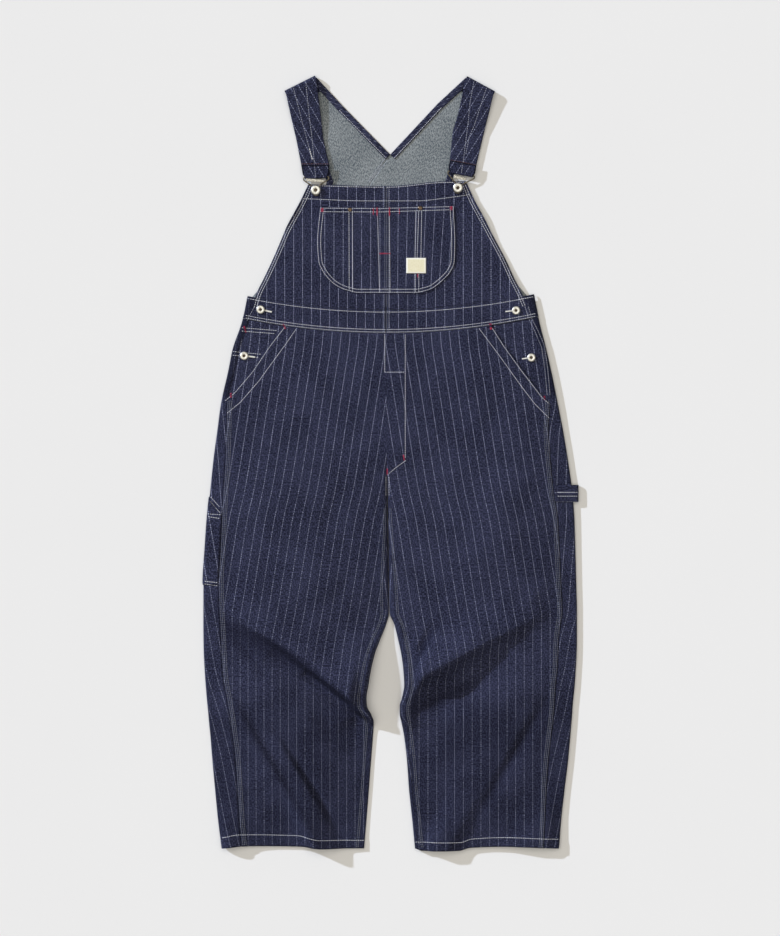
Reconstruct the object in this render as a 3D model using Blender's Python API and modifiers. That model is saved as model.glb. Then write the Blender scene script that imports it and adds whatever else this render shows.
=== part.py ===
"""Striped denim dungarees laid out flat on their back, front side up.

The garment is drawn in millimetres: x across from its centre line, y up from the
hems, z up from the surface that it lies on. Each piece that a maker cuts or fits is
one object. A piece of cloth is a wall with its outer side on the drawn points.
"""
import math

import bmesh
import bpy
from mathutils import Vector

MM = 0.001

# The whole garment
OVERALL_LENGTH = 1358.0     # strap folds to hems, as it lies
CLOTH = 1.2                 # heavy denim
SEAM_GAP = 0.4              # between two pieces that meet edge to edge
LAYER_GAP = 0.3             # between two pieces that lie on each other
LAYER = CLOTH + LAYER_GAP
CENTRE_X = 0.5              # middle of its width, from the centre line

# Body and legs
WAIST = 906.5               # waist seam at the centre front
WAIST_BOW = 25.5            # rise of the waist seam towards the sides
BOW_START = 770.0           # the rows below the waist are straight from here down
HALF_WAIST = 250.0
CENTRE_SEAM = -7.0          # the centre seams of the front and of the hidden back
CROTCH = 624.8
CROTCH_EASE = 75.0          # above the crotch, over which the legs part
CROTCH_GAP = 0.7            # added to the inseam's gap where it turns at the crotch
LEG_CLEARANCE = 0.3         # from each leg to the line where the legs touch
EDGE_ROUND = 0.55           # radius of a folded edge, as a share of the depth
INSEAM_TURN = 1.35          # inseam in from the inner edge, in radii of that edge
INSEAM_EASE = 210.0         # below the crotch, over which the inseam turns to the front
FRONT_TURN = 1.2            # the front panel rounds off over this many radii
POCKET_FOOT = 782.0         # the slanted pocket edges meet the outseams here
FOLD_FADE = 24.0            # folds die out this near an outer edge
INSEAM_FADE = (14.0, 34.0)  # and between these distances from an inner one
HEM_FADE = 60.0
HEM_REACH = 110.0           # the waves of the hems die out this far up
OUTER_REACH = 0.4           # share of a leg's width that its thin outer part takes up
INNER_REACH = 0.42          # and its inner part, below the crotch

# Waistband and bib
BAND_TOP = 947.6            # top of the waistband at the centre front
BACK_WAIST_GAP = 1.2        # the back halves start this far above the waist
BAND_EDGE_Z = 3.0           # the free side edges hang to here, just over the back
BIB_ROUND = 6.0
BIB_EASE = 45.0             # above the waistband, over which the bib's edges drop

# Straps and their buckles
STRAP_FOLD_RADIUS = 6.0
WIRE = 2.4                  # diameter of the buckle's wire
STRAP_END_Z = 5.6           # upper side of the strap where it meets the buckle
TURN_RADIUS = WIRE / 2 + 0.4
LOOP_RADIUS = 6.2           # of the wire's loop round the button's stem

# Buttons
BIB_BUTTON = 17.0
SIDE_BUTTON = 14.7
RIVET = 8.0


class Table:
    """Rows of sizes with named columns, read between the rows along smooth curves."""

    def __init__(self, names, rows):
        self.names = names.split()
        self.rows = rows

    def __call__(self, name, place):
        at = self.names.index(name)
        points = [(row[0], row[at]) for row in self.rows]
        if place <= points[0][0]:
            return points[0][1]
        if place >= points[-1][0]:
            return points[-1][1]
        low = max(i for i, point in enumerate(points[:-1]) if point[0] <= place)
        (x0, y0), (x1, y1) = points[low], points[low + 1]
        share = (place - x0) / (x1 - x0)
        rise = [slope(points, low) * (x1 - x0), slope(points, low + 1) * (x1 - x0)]
        square, cube = share * share, share ** 3
        return (y0 * (2 * cube - 3 * square + 1) + rise[0] * (cube - 2 * square + share)
                + y1 * (3 * square - 2 * cube) + rise[1] * (cube - square))


def slope(points, at):
    """Slope of a table's column at one of its rows, with no overshoot."""
    sides = []
    if at > 0:
        sides.append((points[at][1] - points[at - 1][1]) / (points[at][0] - points[at - 1][0]))
    if at < len(points) - 1:
        sides.append((points[at + 1][1] - points[at][1]) / (points[at + 1][0] - points[at][0]))
    if len(sides) == 1:
        return sides[0]
    if sides[0] * sides[1] <= 0:
        return 0.0
    return 2 * sides[0] * sides[1] / (sides[0] + sides[1])


# Body and legs as they lie: each leg's outer edge, outseam and inner edge, with the
# depth of its folded edge and the crown of its top. Above the crotch the inner edge
# is the centre seam.
LEGS = Table(
    "height left_edge left_seam left_inner right_inner right_seam right_edge depth crown", (
        (0.0, -294.7, -259.0, -45.8, 43.4, 267.8, 295.4, 10.0, 2.5),
        (54.2, -301.7, -263.9, -41.3, 38.2, 271.2, 299.8, 10.5, 3.0),
        (106.8, -306.9, -267.4, -37.1, 32.7, 273.7, 305.6, 11.0, 3.5),
        (159.2, -311.8, -270.9, -33.2, 28.9, 277.4, 311.9, 12.0, 4.0),
        (203.0, -315.3, -276.0, -29.8, 23.6, 282.3, 315.9, 13.5, 4.5),
        (225.8, -317.6, -278.9, -28.5, 19.2, 285.2, 317.8, 14.5, 5.0),
        (239.8, -318.8, -281.2, -33.2, 16.3, 286.6, 318.9, 15.5, 5.0),
        (253.8, -320.2, -283.8, -40.2, 16.3, 287.7, 319.7, 15.5, 5.0),
        (267.8, -321.5, -286.1, -41.1, 20.1, 288.4, 321.1, 16.0, 5.0),
        (290.5, -323.4, -290.5, -37.6, 25.6, 289.8, 323.4, 16.0, 5.5),
        (316.8, -325.2, -293.7, -33.2, 24.5, 292.8, 325.1, 16.0, 5.5),
        (343.0, -326.6, -295.2, -27.1, 21.0, 294.0, 326.6, 16.0, 5.5),
        (369.2, -327.2, -296.4, -17.5, 14.9, 294.9, 327.2, 16.0, 5.5),
        (395.5, -327.4, -297.8, -7.0, 7.0, 298.4, 327.2, 15.5, 5.5),
        (416.5, -327.4, -299.2, -1.8, -1.2, 301.5, 327.2, 15.0, 5.5),
        (470.8, -327.2, -300.5, -2.6, -2.6, 299.2, 326.0, 14.5, 5.0),
        (526.8, -323.8, -297.5, -3.5, -3.5, 296.6, 324.6, 14.0, 5.0),
        (579.2, -320.2, -294.9, -4.4, -4.4, 294.0, 322.9, 13.5, 4.5),
        (624.8, -315.9, -292.6, -5.2, -5.2, 287.0, 319.4, 13.0, 4.5),
        (684.2, -309.8, -288.8, -6.1, -6.1, 280.9, 311.5, 12.0, 4.0),
        (736.8, -302.8, -287.0, -6.7, -6.7, 277.4, 302.8, 11.0, 4.0),
        (782.2, -296.6, -286.0, -7.0, -7.0, 280.0, 294.0, 10.0, 3.5),
        (841.8, -283.5, -273.0, -7.0, -7.0, 271.0, 281.8, 9.0, 3.0),
        (876.8, -276.5, -266.0, -7.0, -7.0, 263.4, 273.9, 8.5, 2.5),
        (929.2, -259.0, -249.0, -7.0, -7.0, 250.8, 260.8, 8.0, 2.0),
        (973.0, -250.0, -240.0, -7.0, -7.0, 242.0, 252.0, 8.0, 2.0),
    ))
LEG_ROWS = (0, 22, 58, 100, 140, 176, 204, 222, 238, 254, 268, 282, 298, 314, 330, 346, 362, 378,
            396, 416, 440, 478, 526, 576, 606, CROTCH, 640, 660, 690, 736, 782, 820, 860,
            WAIST - SEAM_GAP / 2)

# Depth of each leg's folded edges: thin where the cloth is pressed flat, and round where
# it bulges at the left knee. Above the crotch the inner ones are the middle's depth.
EDGE_DEPTHS = Table("height left_outer left_inner right_outer right_inner", (
    (0.0, 18.0, 7.5, 11.0, 9.0), (30.0, 12.0, 7.0, 9.0, 8.0), (70.0, 8.0, 7.0, 7.0, 8.0),
    (150.0, 7.0, 7.0, 6.5, 8.5), (196.0, 7.0, 8.5, 6.5, 10.0), (228.0, 7.0, 17.0, 6.5, 14.0),
    (250.0, 7.0, 22.0, 6.5, 19.0), (280.0, 7.0, 24.0, 6.5, 22.0), (310.0, 7.0, 23.5, 6.5, 21.0),
    (340.0, 7.0, 20.0, 6.5, 18.5), (370.0, 7.0, 17.0, 6.5, 17.0), (400.0, 7.5, 15.5, 6.5, 15.5),
    (450.0, 8.0, 14.8, 6.5, 14.8), (560.0, 8.0, 13.7, 7.0, 13.7), (625.0, 8.0, 13.0, 8.0, 13.0),
    (680.0, 7.5, 12.0, 7.5, 12.0), (737.0, 7.5, 11.0, 7.5, 11.0), (782.0, 8.5, 10.0, 8.5, 10.0),
    (842.0, 9.0, 9.0, 9.0, 9.0), (929.0, 8.0, 8.0, 8.0, 8.0)))

# Height of the front at the hems, which wave where the legs' folds run out
HEM_WAVES = Table("x height", (
    (-297, 18), (-283, 20), (-258, 13), (-225, 8), (-195, 7.6), (-164, 7.8), (-149, 15),
    (-137, 24.5), (-122, 23.5), (-107, 18.5), (-94, 13.5), (-82, 10.5), (-62, 8.8), (-44, 7.6),
    (43, 9), (60, 17), (78, 22), (96, 21), (114, 14), (134, 8.6), (160, 7.8), (188, 9),
    (212, 13.5), (236, 17.5), (258, 17), (297, 11)))

# Dips of the hems below and above a straight line
HEMS = Table("x rise", (
    (-297, 4), (-250, 8), (-159, 7), (-110, 4), (-44, 4),
    (43, 4), (56, 0), (120, 0), (140, 5), (204, 7), (297, 4)))

# Slanted edges of the front hip pockets
POCKET_EDGES = Table("height left right", (
    (783.0, -289.5, 279.7), (795.4, -283.5, 267.4), (805.4, -271.8, 260.5), (842.1, -239.8, 232.0),
    (886.4, -210.4, 199.5), (923.0, -181.0, 173.5), (940.0, -168.0, 161.0)))

# Largest folds: a line from one end to the other, how far it bows, how fast the cloth
# falls off above and below it, and how high the fold stands (a trough is negative).
FOLD_COLUMNS = ("x0", "y0", "x1", "y1", "bow", "above", "below", "rise")
FOLDS = (
    (-290, 428, -10, 218, 4, 45, 13, 12.0),
    (-215, 344, -10, 180, 0, 17, 42, -7.0),
    (-272, 240, -192, 104, 6, 14, 34, 5.0),
    (-188, 180, -110, -8, 4, 14, 36, 8.5),
    (-200, 700, -120, 440, 10, 40, 40, 2.5),
    (-72, 640, -118, 560, 4, 14, 14, -2.0),
    (276, 422, -60, 240, 4, 42, 15, 11.0),
    (176, 369, -104, 218, 2, 36, 15, 8.5),
    (262, 376, -30, 218, 0, 18, 50, -9.5),
    (74, 410, 40, 318, 4, 12, 12, -4.0),
    (268, 262, 170, 90, 8, 15, 15, -3.5),
    (152, 90, 146, 8, 2, 12, 12, -2.0),
    (215, 690, 120, 430, -10, 40, 40, 2.5),
    (60, 640, 104, 560, 4, 14, 14, -2.0),
)

# Bib: its side edges, the height of its outer side along the centre line, and that of
# its side edges
BIB = Table("height left right rise edge", (
    (947.6, -243.0, 243.0, 10.0, 3.0), (976.0, -234.0, 230.5, 9.6, 6.0),
    (1034.0, -206.5, 203.0, 7.6, 3.2), (1060.0, -195.2, 189.4, 6.8, 3.2),
    (1086.8, -183.8, 175.0, 6.2, 4.6), (1139.0, -155.8, 147.0, 5.4, 4.6),
    (1175.0, -139.5, 131.5, 5.0, 4.0)))
BIB_TOP = Table("x height", ((-144, 1167.0), (-5, 1164.0), (100, 1172.5), (134, 1172.5)))
BIB_POCKET = Table("height left right", (
    (975.6, -60.0, 50.0), (982.0, -83.0, 72.0), (990.0, -98.0, 84.0), (1000.0, -109.0, 95.5),
    (1012.0, -118.5, 106.0), (1031.0, -127.0, 114.0), (1066.8, -129.3, 115.2),
    (1126.0, -124.2, 112.4)))
LABEL_BOX = {"left": 28.2, "right": 62.7, "bottom": 1011.0, "top": 1038.0}

# Each half of the back, from the waist to the strap's fold: its outer and inner ends
BACK_COLUMNS = ("outer_x", "outer_y", "inner_x", "inner_y")
BACKS = {
    "left": (
        (-258.5, WAIST + WAIST_BOW, -7.0, WAIST), (-242.0, 969.5, -7.0, 964.0),
        (-190.0, 1030.8, -10.5, 1030.8), (-154.0, 1086.8, -21.0, 1083.0),
        (-113.8, 1146.0, -35.0, 1142.8), (-105.0, 1174.0, -35.0, 1169.0),
        (-119.0, 1223.0, 0.0, 1214.5), (-140.0, 1261.8, -36.8, 1254.8),
        (-162.8, 1296.8, -82.3, 1302.9)),
    "right": (
        (260.0, WAIST + WAIST_BOW, -7.0, WAIST), (242.0, 969.5, -7.0, 964.0),
        (188.0, 1030.8, -10.5, 1030.8), (155.0, 1086.8, -21.0, 1083.0),
        (115.5, 1146.0, -35.0, 1142.8), (106.8, 1174.0, -35.0, 1169.0),
        (122.5, 1223.0, 0.0, 1214.5), (141.8, 1261.8, 36.8, 1254.8),
        (162.8, 1296.8, 83.0, 1302.9)),
}
# The front of each strap: its ends at the fold, halfway, and at the buckle's bar
STRAPS = {
    "left": ((-185.3, 1331.0, -132.0, 1357.6), (-173.5, 1284.0, -121.0, 1284.0),
             (-164.9, 1247.8, -117.3, 1247.8), (-155.8, 1200.7, -106.5, 1200.7),
             (-152.0, 1178.5, -107.5, 1180.5)),
    "right": ((183.8, 1330.0, 134.8, 1356.6), (172.5, 1290.0, 119.0, 1290.0),
              (164.3, 1257.0, 110.0, 1261.8), (150.8, 1200.5, 104.5, 1208.9),
              (148.0, 1181.0, 101.0, 1190.5)),
}
STRAP_HEIGHTS = (2 * STRAP_FOLD_RADIUS, 10.8, 7.4, STRAP_END_Z, STRAP_END_Z)
TURN_INSET = 5.0            # the cloth draws together by this on each side of the bar

BINDING = 13.0              # width of the neck and armhole bindings
NECK_END = 0.8              # share of the way from the shoulder's row to its fold
ARMHOLE = {
    "left": ((-150.0, 1096.0), (-113.8, 1146.0), (-105.0, 1174.0), (-119.0, 1223.0)),
    "right": ((153.0, 1096.0), (115.5, 1146.0), (106.8, 1174.0), (122.5, 1223.0)),
}

BUTTONS = {
    "bib_button_left": (-130.4, 1156.8, BIB_BUTTON),
    "bib_button_right": (118.5, 1160.9, BIB_BUTTON),
    "waist_button_left": (-227.0, 947.6, SIDE_BUTTON),
    "waist_button_right": (220.2, 946.0, SIDE_BUTTON),
    "hip_button_left": (-255.9, 866.6, SIDE_BUTTON),
    "hip_button_right": (247.0, 863.6, SIDE_BUTTON),
}
RIVETS = {"rivet_left": (-70.7, 1122.6), "rivet_right": (52.7, 1125.2)}

# Hammer loop on the right outseam, and tool pocket on the left one
LOOP_BAND = (610.8, 640.5)
LOOP_REACH = 329.9
TOOL_POCKET = {"bottom": 465.5, "top_at_seam": 594.6, "top_at_edge": 620.0}

DENIM = (0.027, 0.032, 0.085)
CHAMBRAY = (0.26, 0.29, 0.28)
LABEL = (0.80, 0.76, 0.62)
NICKEL = (0.66, 0.64, 0.58)
BRASS = (0.42, 0.27, 0.12)


# ---------------------------------------------------------------- helpers

def steps(count):
    """Even shares from 0 to 1."""
    return [i / count for i in range(count + 1)]


def ease(low, high, value):
    """0 below low, 1 above high, and a smooth change between them."""
    share = min(max((value - low) / (high - low), 0.0), 1.0)
    return share * share * (3 - 2 * share)


def blend(low, high, share):
    return low + (high - low) * share


def round_edge(distance, radius):
    """How far a round edge has dropped, from 0 to 1, at a distance in from it."""
    q = min(max((radius - distance) / radius, 0.0), 1.0)
    return 1 - math.sqrt(1 - q * q)


def drawn_in(points, first_gap=SEAM_GAP, last_gap=SEAM_GAP):
    """A row of points with both ends moved in along it by half a seam's gap."""
    first = points[0] + (points[1] - points[0]).normalized() * first_gap / 2
    last = points[-1] + (points[-2] - points[-1]).normalized() * last_gap / 2
    return [first, *points[1:-1], last]


def moved_out(row, distance):
    """A row of section points, moved out square to each of its lines, up where it is flat."""
    lines = [(b - a).normalized() for a, b in zip(row, row[1:])]
    moved = []
    for i, point in enumerate(row):
        after = lines[min(i, len(lines) - 1)]
        along = (lines[max(i - 1, 0)] + after).normalized()
        out = Vector((-along.z, 0, along.x)).normalized()
        moved.append(point + out * distance / along.dot(after))
    return moved


def material(name, colour, roughness, metallic=0.0):
    made = bpy.data.materials.new(name)
    made.use_nodes = True
    shader = made.node_tree.nodes["Principled BSDF"]
    shader.inputs["Base Color"].default_value = (*colour, 1)
    shader.inputs["Roughness"].default_value = roughness
    shader.inputs["Metallic"].default_value = metallic
    return made


def placed(point):
    """A drawn point in metres, in the part's frame."""
    return Vector((point[0] - CENTRE_X, point[1] - OVERALL_LENGTH / 2, point[2])) * MM


def cloth(name, rows, finish, wall=CLOTH):
    """A wall of cloth: rows of points on its outer side, thickened inwards."""
    across = len(rows[0]) - 1
    along = len(rows) - 1
    sheet = bmesh.new()
    bmesh.ops.create_grid(sheet, x_segments=across, y_segments=along, size=1)
    for vert in sheet.verts:
        column = round((vert.co.x + 1) / 2 * across)
        row = round((vert.co.y + 1) / 2 * along)
        vert.co = placed(rows[row][column])
    bmesh.ops.remove_doubles(sheet, verts=sheet.verts, dist=0.00001)
    mesh = bpy.data.meshes.new(name)
    sheet.to_mesh(mesh)
    sheet.free()
    mesh.shade_smooth()
    mesh.set_sharp_from_angle(angle=math.radians(50))
    piece = add_part(name, mesh, finish)
    solid = piece.modifiers.new("wall", "SOLIDIFY")
    solid.thickness = wall * MM
    solid.offset = -1
    solid.use_even_offset = True
    solid.use_quality_normals = True
    return piece


def add_part(name, data, finish):
    piece = bpy.data.objects.new(name, data)
    data.materials.append(finish)
    garment.objects.link(piece)
    return piece


# ---------------------------------------------------------------- clear and set up

for old in list(bpy.data.objects):
    bpy.data.objects.remove(old, do_unlink=True)
garment = bpy.data.collections.new("dungarees")
bpy.context.scene.collection.children.link(garment)

denim = material("striped_denim", DENIM, 0.85)
inside = material("denim_inside", CHAMBRAY, 0.9)
label_cloth = material("label_cloth", LABEL, 0.7)
nickel = material("nickel", NICKEL, 0.3, 1.0)
brass = material("brass", BRASS, 0.4, 1.0)


# ---------------------------------------------------------------- body and legs

def fold_relief(x, y):
    """Height that the folds add to the top of the cloth."""
    total = 0.0
    for row in FOLDS:
        fold = dict(zip(FOLD_COLUMNS, row))
        start = Vector((fold["x0"], fold["y0"]))
        line = Vector((fold["x1"], fold["y1"])) - start
        reach = Vector((x, y)) - start
        share = reach.dot(line) / line.length_squared
        if not 0 < share < 1:
            continue
        up = Vector((-line.y, line.x)).normalized()
        if up.y < 0:
            up.negate()
        off = reach.dot(up) - fold["bow"] * 4 * share * (1 - share)
        width = fold["above"] if off > 0 else fold["below"]
        total += fold["rise"] * math.exp(-(off / width) ** 2) * math.sin(math.pi * share) ** 0.6
    return total


def inward(side):
    return 1 if side == "left" else -1


def parting(y):
    """0 on the body, and 1 where the two legs are apart."""
    return 1 - ease(CROTCH, CROTCH + CROTCH_EASE, y)


def leg_width(side, y):
    reach = (LEGS(side + "_inner", y) - LEGS(side + "_edge", y)) * inward(side)
    return reach - parting(y) * LEG_CLEARANCE


def waist_rise(x):
    """Rise of the waist seam above its height at the centre."""
    return WAIST_BOW * min(abs(x - CENTRE_SEAM) / HALF_WAIST, 1.05) ** 2


def row_height(side, row, across):
    """Height of a row's point, with the waist's bow and the hem's dips in it."""
    y = row
    for _ in range(3):
        x = LEGS(side + "_edge", y) + inward(side) * across * leg_width(side, y)
        y = row + waist_rise(x) * ease(BOW_START, WAIST, row)
    return y + HEMS("rise", x) * (1 - ease(0, HEM_FADE, row))


def outer_radius(side, y):
    return EDGE_ROUND * EDGE_DEPTHS(side + "_outer", y)


def inner_depth(side, y):
    return blend(LEGS("depth", y), EDGE_DEPTHS(side + "_inner", y), parting(y))


def inner_radius(side, y):
    return EDGE_ROUND * inner_depth(side, y)


def leg_depth(side, y, across):
    """Depth of a leg: its edges' depths, and between them the middle's."""
    middle = LEGS("depth", y)
    outer = (EDGE_DEPTHS(side + "_outer", y) - middle) * (1 - ease(0, OUTER_REACH, across))
    inner = (inner_depth(side, y) - middle) * ease(1 - INNER_REACH, 1, across)
    return middle + outer + inner


def leg_point(side, row, inside_by, face):
    """A point on a leg's outer surface, this far in from its outer edge."""
    across = inside_by / leg_width(side, row)
    y = row_height(side, row, across)
    width = leg_width(side, y)
    distance = across * width
    x = LEGS(side + "_edge", y) + inward(side) * distance
    depth = leg_depth(side, y, across)
    apart = parting(y)
    drop = depth / 2 * (round_edge(distance, outer_radius(side, y))
                        + apart * round_edge(width - distance, inner_radius(side, y)))
    if face == "under":
        return Vector((x, y, drop))
    bulk = depth + LEGS("crown", y) * (1 - (1 - across) ** 3) * (1 - apart * across ** 3)
    fade = ease(0, FOLD_FADE, distance)
    fade *= 1 - apart * (1 - ease(*INSEAM_FADE, width - distance))
    wave = 1 - ease(0, HEM_REACH, row)
    relief = blend(fold_relief(x, y), HEM_WAVES("height", x) - bulk, wave)
    return Vector((x, y, bulk + relief * fade - drop))


def seam_distance(side, row):
    return (LEGS(side + "_seam", row) - LEGS(side + "_edge", row)) * inward(side)


def inner_point(side, row, turn):
    """A point round the inner edge: -1 under it, 0 at its side, 1 and more on top."""
    radius = inner_radius(side, row)
    distance = radius * (1 - math.cos(abs(turn) * math.pi / 2))
    if turn > 1:
        distance = radius * turn
    return leg_point(side, row, leg_width(side, row) - distance, "top" if turn > 0 else "under")


def inseam_turn(row):
    """Where the inseam runs round the inner edge: onto the front below the crotch."""
    return INSEAM_TURN * (1 - ease(CROTCH - INSEAM_EASE, CROTCH, row))


def half_seam(side, row):
    """Half of the inseam's gap, as a turn. It is wider where four panels meet."""
    near = ease(CROTCH - INSEAM_EASE - 30, CROTCH - INSEAM_EASE + 30, row)
    gap = SEAM_GAP + CROTCH_GAP * near * (1 - ease(CROTCH, CROTCH + CROTCH_EASE, row))
    return gap / 2 / (inner_radius(side, row) * math.pi / 2)


def front_distance(side, row):
    """From the outer edge to the front panel: the outseam, or the slanted pocket edge."""
    seam = seam_distance(side, row)
    pocket = seam
    for _ in range(3):
        y = row_height(side, row, pocket / leg_width(side, row))
        pocket = (POCKET_EDGES(side, y) - LEGS(side + "_edge", y)) * inward(side)
    return max(seam, pocket) if row > POCKET_FOOT else seam


def back_leg_row(side, row):
    """Outseam, outer edge, underside, inner edge, and up to the inseam."""
    seam = seam_distance(side, row)
    flat = leg_width(side, row) - inner_radius(side, row)
    last = inseam_turn(row) - half_seam(side, row)
    points = [leg_point(side, row, seam * (1 - share) ** 2.2, "top") for share in steps(4)]
    points += [leg_point(side, row, flat * share ** 2.2, "under") for share in steps(5)[1:]]
    points += [inner_point(side, row, -1 + (last + 1) * share) for share in steps(5)[1:]]
    return drawn_in(points, last_gap=0)


def front_leg_row(side, row):
    first = front_distance(side, row)
    end = inseam_turn(row)
    last = leg_width(side, row) - inner_radius(side, row) * (end + FRONT_TURN)
    points = [leg_point(side, row, first + (last - first) * share, "top") for share in steps(11)]
    points += [inner_point(side, row, end + FRONT_TURN + (half_seam(side, row) - FRONT_TURN) * share)
               for share in steps(5)[1:]]
    return drawn_in(points, last_gap=0)


def facing_row(side, row):
    """The pocket's facing lies under the front panel and under the back's edge."""
    first = seam_distance(side, row) - 3
    last = front_distance(side, row) + 12
    points = [leg_point(side, row, first + (last - first) * share, "top") for share in steps(5)]
    return [point - Vector((0, 0, LAYER + 0.1)) for point in points]


for side in ("left", "right"):
    back_rows = [back_leg_row(side, row) for row in LEG_ROWS]
    front_rows = [front_leg_row(side, row) for row in LEG_ROWS]
    facing_rows = [facing_row(side, row) for row in LEG_ROWS if row > 770]
    if side == "left":
        back_rows = [row[::-1] for row in back_rows]
    else:
        front_rows = [row[::-1] for row in front_rows]
        facing_rows = [row[::-1] for row in facing_rows]
    cloth("back_leg_" + side, back_rows, denim)
    cloth("front_leg_" + side, front_rows, denim)
    cloth("pocket_facing_" + side, facing_rows, denim)


# ---------------------------------------------------------------- waistband and bib

def front_height(x, y):
    """Outer side of the waistband and bib, before their side edges drop."""
    return BIB("rise", y) - 2 * min(abs(x) / HALF_WAIST, 1) ** 3


def band_point(side, share, up):
    """A point on the waistband: a share of the way in from its end, and of its height."""
    end = LEGS(side + "_edge", WAIST + WAIST_BOW + up * (BAND_TOP - WAIST))
    x = end + (CENTRE_SEAM - end) * share
    y = WAIST + SEAM_GAP / 2 + up * (BAND_TOP - WAIST - SEAM_GAP) + waist_rise(x)
    z = front_height(x, y)
    drop = (z - BAND_EDGE_Z) * round_edge(abs(x - end), BIB_ROUND)
    return Vector((x, y, z - drop))


def bib_edge_drop(x, y):
    near = min(x - BIB("left", y), BIB("right", y) - x)
    lift = ease(0, BIB_EASE, y - BAND_TOP - waist_rise(x))
    return (front_height(x, y) - BIB("edge", y)) * round_edge(max(near, 0), BIB_ROUND) * lift


def bib_height(x, y):
    return front_height(x, y) - bib_edge_drop(x, y)


def bib_point(side, share, up):
    """A point on the bib: a share of the way in from its side, and of its height."""
    end = BIB(side, BAND_TOP + up * (BIB_TOP("height", 0) - BAND_TOP))
    for _ in range(4):
        low = BAND_TOP + SEAM_GAP / 2 + waist_rise(end)
        y = low + up * (BIB_TOP("height", end) - low)
        end = BIB(side, y)
    x = end + (CENTRE_SEAM - end) * share
    low = BAND_TOP + SEAM_GAP / 2 + waist_rise(x)
    y = low + up * (BIB_TOP("height", x) - low)
    return Vector((x, y, bib_height(x, y)))


def half(side, point_at, across, along):
    """Rows of one half, from its side edge to the centre seam, left to right."""
    rows = [[point_at(side, share ** 1.6, up) for share in steps(across)] for up in steps(along)]
    rows = [[*row[:-1], row[-1] + Vector((-inward(side) * SEAM_GAP / 2, 0, 0))] for row in rows]
    return [row[::-1] for row in rows] if side == "right" else rows


for side in ("left", "right"):
    cloth("waistband_" + side, half(side, band_point, 9, 2), denim)
    cloth("bib_" + side, half(side, bib_point, 9, 7), denim)


def laid_on_bib(left, right, y, across, lift):
    """A row of points on the bib, moved out by a lift."""
    xs = [left + (right - left) * share for share in steps(across)]
    return [Vector((x, y, bib_height(x, y) + lift)) for x in xs]


pocket_rows = [row[0] for row in BIB_POCKET.rows]
pocket_rows = pocket_rows[:-1] + [1096.0, pocket_rows[-1]]
cloth("bib_pocket", [laid_on_bib(BIB_POCKET("left", y), BIB_POCKET("right", y), y, 10, LAYER)
                     for y in pocket_rows], denim)
cloth("bib_label", [laid_on_bib(LABEL_BOX["left"], LABEL_BOX["right"], y, 2, LAYER * 2)
                    for y in (LABEL_BOX["bottom"], LABEL_BOX["top"])], label_cloth, 1.0)


# ---------------------------------------------------------------- back halves and straps

def ruled_row(ends, z, across=6, inset=0.0):
    """Points from a row's outer end to its inner end, at one height."""
    outer = Vector((ends[0], ends[1], z))
    inner = Vector((ends[2], ends[3], z))
    along = (inner - outer).normalized() * inset
    outer, inner = outer + along, inner - along
    return [outer.lerp(inner, share) for share in steps(across)]


def turned(ends, centre_z, radius, start, stop, count, inset=0.0):
    """Rows round a fold whose line runs between two ends, square to it."""
    outer = Vector((ends[0], ends[1]))
    inner = Vector((ends[2], ends[3]))
    out = Vector((outer.y - inner.y, inner.x - outer.x)).normalized()
    if out.y < 0:
        out.negate()
    rows = []
    for share in steps(count):
        angle = math.radians(start + (stop - start) * share)
        shift = out * radius * math.cos(angle)
        moved = (ends[0] + shift.x, ends[1] + shift.y, ends[2] + shift.x, ends[3] + shift.y)
        rows.append(ruled_row(moved, centre_z + radius * math.sin(angle), inset=inset))
    return rows


def back_rows_of(side):
    """The back half from the waist up, over the shoulder fold, and down to the buckle."""
    rows = []
    for ends in BACKS[side]:
        outer_x, outer_y, inner_x, inner_y = ends
        seam = SEAM_GAP / 2 * inward(side) if inner_y < 1220 else 0.0
        rows.append(ruled_row((outer_x, outer_y, inner_x - seam, inner_y), 0.0))
    for point in rows[0]:
        point.y = WAIST + BACK_WAIST_GAP + waist_rise(point.x)
    fold, *front = STRAPS[side]
    out = Vector((fold[1] - fold[3], fold[2] - fold[0])).normalized()
    out = -out if out.y < 0 else out
    back = out * STRAP_FOLD_RADIUS
    axis = (fold[0] - back.x, fold[1] - back.y, fold[2] - back.x, fold[3] - back.y)
    rows += turned(axis, STRAP_FOLD_RADIUS, STRAP_FOLD_RADIUS, -90, 90, 6)
    for ends, z in zip(front[:-1], STRAP_HEIGHTS[1:]):
        rows.append(ruled_row(ends, z))
    bar = front[-1]
    rows += turned(bar, STRAP_END_Z + TURN_RADIUS, TURN_RADIUS, -90, -270, 6, TURN_INSET)
    top_z = STRAP_END_Z + 2 * TURN_RADIUS
    end = front[-2]
    rows.append(ruled_row([blend(a, b, 0.25) for a, b in zip(bar, end)], top_z))
    rows.append(ruled_row(end, top_z))
    return rows


for side in ("left", "right"):
    rows = back_rows_of(side)
    rows = [row[::-1] for row in rows] if side == "left" else rows
    cloth("back_" + side, rows, inside)


def binding_rows(edge, width, toward, across=2):
    """A strip along an edge, lying on the inside of the back."""
    rows = []
    for i, point in enumerate(edge):
        ahead = Vector(edge[min(i + 1, len(edge) - 1)])
        behind = Vector(edge[max(i - 1, 0)])
        line = (ahead - behind).normalized()
        square = Vector((-line.y, line.x)) * toward
        rows.append([Vector((*(Vector(point) + square * width * share), CLOTH + LAYER))
                     for share in steps(across)])
    return rows


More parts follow.
